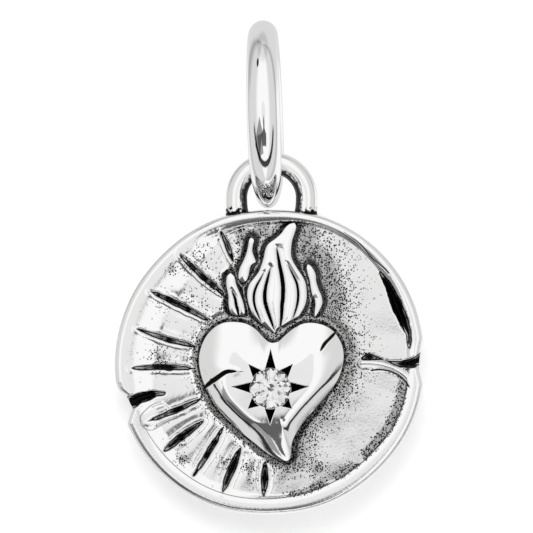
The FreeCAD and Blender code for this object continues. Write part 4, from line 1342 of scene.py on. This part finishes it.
def sheet_material(name, one_sided):
    """A white sheet that shows shadows. Metal and glass see the tent through it."""
    material = bpy.data.materials.new(name)
    material.use_nodes = True
    material.node_tree.nodes.clear()
    nodes = Nodes(material.node_tree)
    rays = nodes.add("ShaderNodeLightPath").outputs
    matt = nodes.add("ShaderNodeBsdfDiffuse", Color=(0.86, 0.86, 0.86, 1))
    glow = nodes.add("ShaderNodeEmission", WHITE, nodes.times(rays["Is Camera Ray"], 0.3))
    sheet = nodes.add("ShaderNodeAddShader", matt.outputs[0], glow.outputs[0])
    hidden = nodes.most(rays["Is Glossy Ray"], rays["Is Transmission Ray"])
    if one_sided:
        hidden = nodes.most(hidden, nodes.add("ShaderNodeNewGeometry").outputs["Backfacing"])
    clear = nodes.add("ShaderNodeBsdfTransparent")
    shown = nodes.add("ShaderNodeMixShader", hidden, sheet.outputs[0], clear.outputs[0])
    nodes.add("ShaderNodeOutputMaterial", shown.outputs[0])
    return material


def build_sheet(name, corners, material):
    """A flat stage sheet from four corners."""
    mesh = bpy.data.meshes.new(name)
    mesh.from_pydata(corners, [], [(0, 1, 2, 3)])
    mesh.materials.append(material)
    sheet = add_object(name, mesh)
    sheet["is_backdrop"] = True


def build_lamp(name, place, target, size, power):
    """A square soft lamp aimed at a point."""
    light = bpy.data.lights.new(name, "AREA")
    light.size = size
    light.energy = power
    lamp = add_object(name, light)
    lamp.location = place
    lamp.visible_glossy = False
    lamp.visible_transmission = False
    lamp.rotation_euler = (Vector(target) - Vector(place)).to_track_quat("-Z", "Y").to_euler()


def build_stage():
    """Floor, card behind the medal, lamps, world and camera."""
    sizes = bpy.context.scene.charm_stage
    floor_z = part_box("medal_disc")[0].z - FLOOR_GAP
    card_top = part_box("bail_ring")[0].z - CARD_DROP
    card_y = BACK_Y + CARD_GAP
    reach = 150 * MM
    left, right = (-reach, card_y), (reach, card_y)
    floor = [(-reach, -reach, floor_z), (reach, -reach, floor_z), (*right, floor_z), (*left, floor_z)]
    card = [(*left, floor_z), (*right, floor_z), (*right, card_top), (*left, card_top)]
    build_sheet("floor", floor, sheet_material("floor_white", False))
    build_sheet("card", card, sheet_material("card_white", True))
    centre = (MEDAL_CENTRE_X, 0, MEDAL_CENTRE_Z)
    build_lamp("top_lamp", (-20 * MM, -150 * MM, 110 * MM), centre, 120 * MM, 0.16)
    build_lamp("fill_lamp", (150 * MM, -160 * MM, 20 * MM), centre, 140 * MM, 0.05)
    build_world()
    camera = bpy.data.cameras.new("camera")
    camera.lens = sizes.lens
    camera.clip_start = 1 * MM
    holder = add_object("camera", camera)
    away = Vector((math.sin(sizes.azimuth), -math.cos(sizes.azimuth), 0))
    holder.location = PICTURE_CENTRE + away * (sizes.view_width * sizes.lens / SENSOR_WIDTH)
    holder.rotation_euler = (-away).to_track_quat("-Z", "Y").to_euler()
    bpy.context.scene.camera = holder
    bpy.context.scene.view_settings.view_transform = "Standard"


class Builds:
    """Runs an operator's build function."""

    def execute(self, context):
        self.build()
        return {"FINISHED"}


class CHARM_OT_medal(Builds, bpy.types.Operator):
    """Build the medal plate"""

    bl_idname = "charm.medal"
    bl_label = "Medal plate"
    build = staticmethod(build_medal)


class CHARM_OT_heart(Builds, bpy.types.Operator):
    """Build the domed heart"""

    bl_idname = "charm.heart"
    bl_label = "Heart"
    build = staticmethod(build_heart)


class CHARM_OT_flames(Builds, bpy.types.Operator):
    """Build the four flames"""

    bl_idname = "charm.flames"
    bl_label = "Flames"
    build = staticmethod(build_flames)


class CHARM_OT_stone(Builds, bpy.types.Operator):
    """Build the round brilliant"""

    bl_idname = "charm.stone"
    bl_label = "Stone"
    build = staticmethod(build_stone)


class CHARM_OT_eye(Builds, bpy.types.Operator):
    """Build the hanging eye"""

    bl_idname = "charm.eye"
    bl_label = "Hanging eye"
    build = staticmethod(build_eye)


class CHARM_OT_bail(Builds, bpy.types.Operator):
    """Build the bail ring"""

    bl_idname = "charm.bail"
    bl_label = "Bail ring"
    build = staticmethod(build_bail)


class CHARM_OT_stage(Builds, bpy.types.Operator):
    """Build the floor, card, lamps, world and camera"""

    bl_idname = "charm.stage"
    bl_label = "Stage"
    build = staticmethod(build_stage)


OPERATORS = (
    CHARM_OT_medal, CHARM_OT_heart, CHARM_OT_flames, CHARM_OT_stone, CHARM_OT_eye, CHARM_OT_bail,
    CHARM_OT_stage,
)


class CHARM_PT_panel(bpy.types.Panel):
    """Lists the charm's pieces and sizes"""

    bl_label = "Milagro charm"
    bl_idname = "CHARM_PT_panel"
    bl_space_type = "VIEW_3D"
    bl_region_type = "UI"
    bl_category = "Charm"

    def draw(self, context):
        layout = self.layout
        for key in GROUPS:
            box = layout.box()
            box.label(text=key.replace("charm_", "").capitalize())
            group = getattr(context.scene, key)
            for name in group.bl_rna.properties.keys():
                if name not in ("rna_type", "name"):
                    box.prop(group, name)
        for operator in OPERATORS:
            layout.operator(operator.bl_idname)


def register():
    for key, group in GROUPS.items():
        bpy.utils.register_class(group)
        setattr(bpy.types.Scene, key, PointerProperty(type=group))
    for cls in (*OPERATORS, CHARM_PT_panel):
        bpy.utils.register_class(cls)


def unregister():
    for cls in (CHARM_PT_panel, *OPERATORS):
        bpy.utils.unregister_class(cls)
    for key, group in GROUPS.items():
        delattr(bpy.types.Scene, key)
        bpy.utils.unregister_class(group)


def main():
    register()
    bpy.ops.charm.medal()
    bpy.ops.charm.heart()
    bpy.ops.charm.flames()
    bpy.ops.charm.stone()
    bpy.ops.charm.eye()
    bpy.ops.charm.bail()
    bpy.ops.charm.stage()
    boxes = {"cad": cad_box, "visual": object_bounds()}
    {key: [list(corner) for corner in box] for key, box in boxes.items()}


if __name__ == "__main__":
    main()
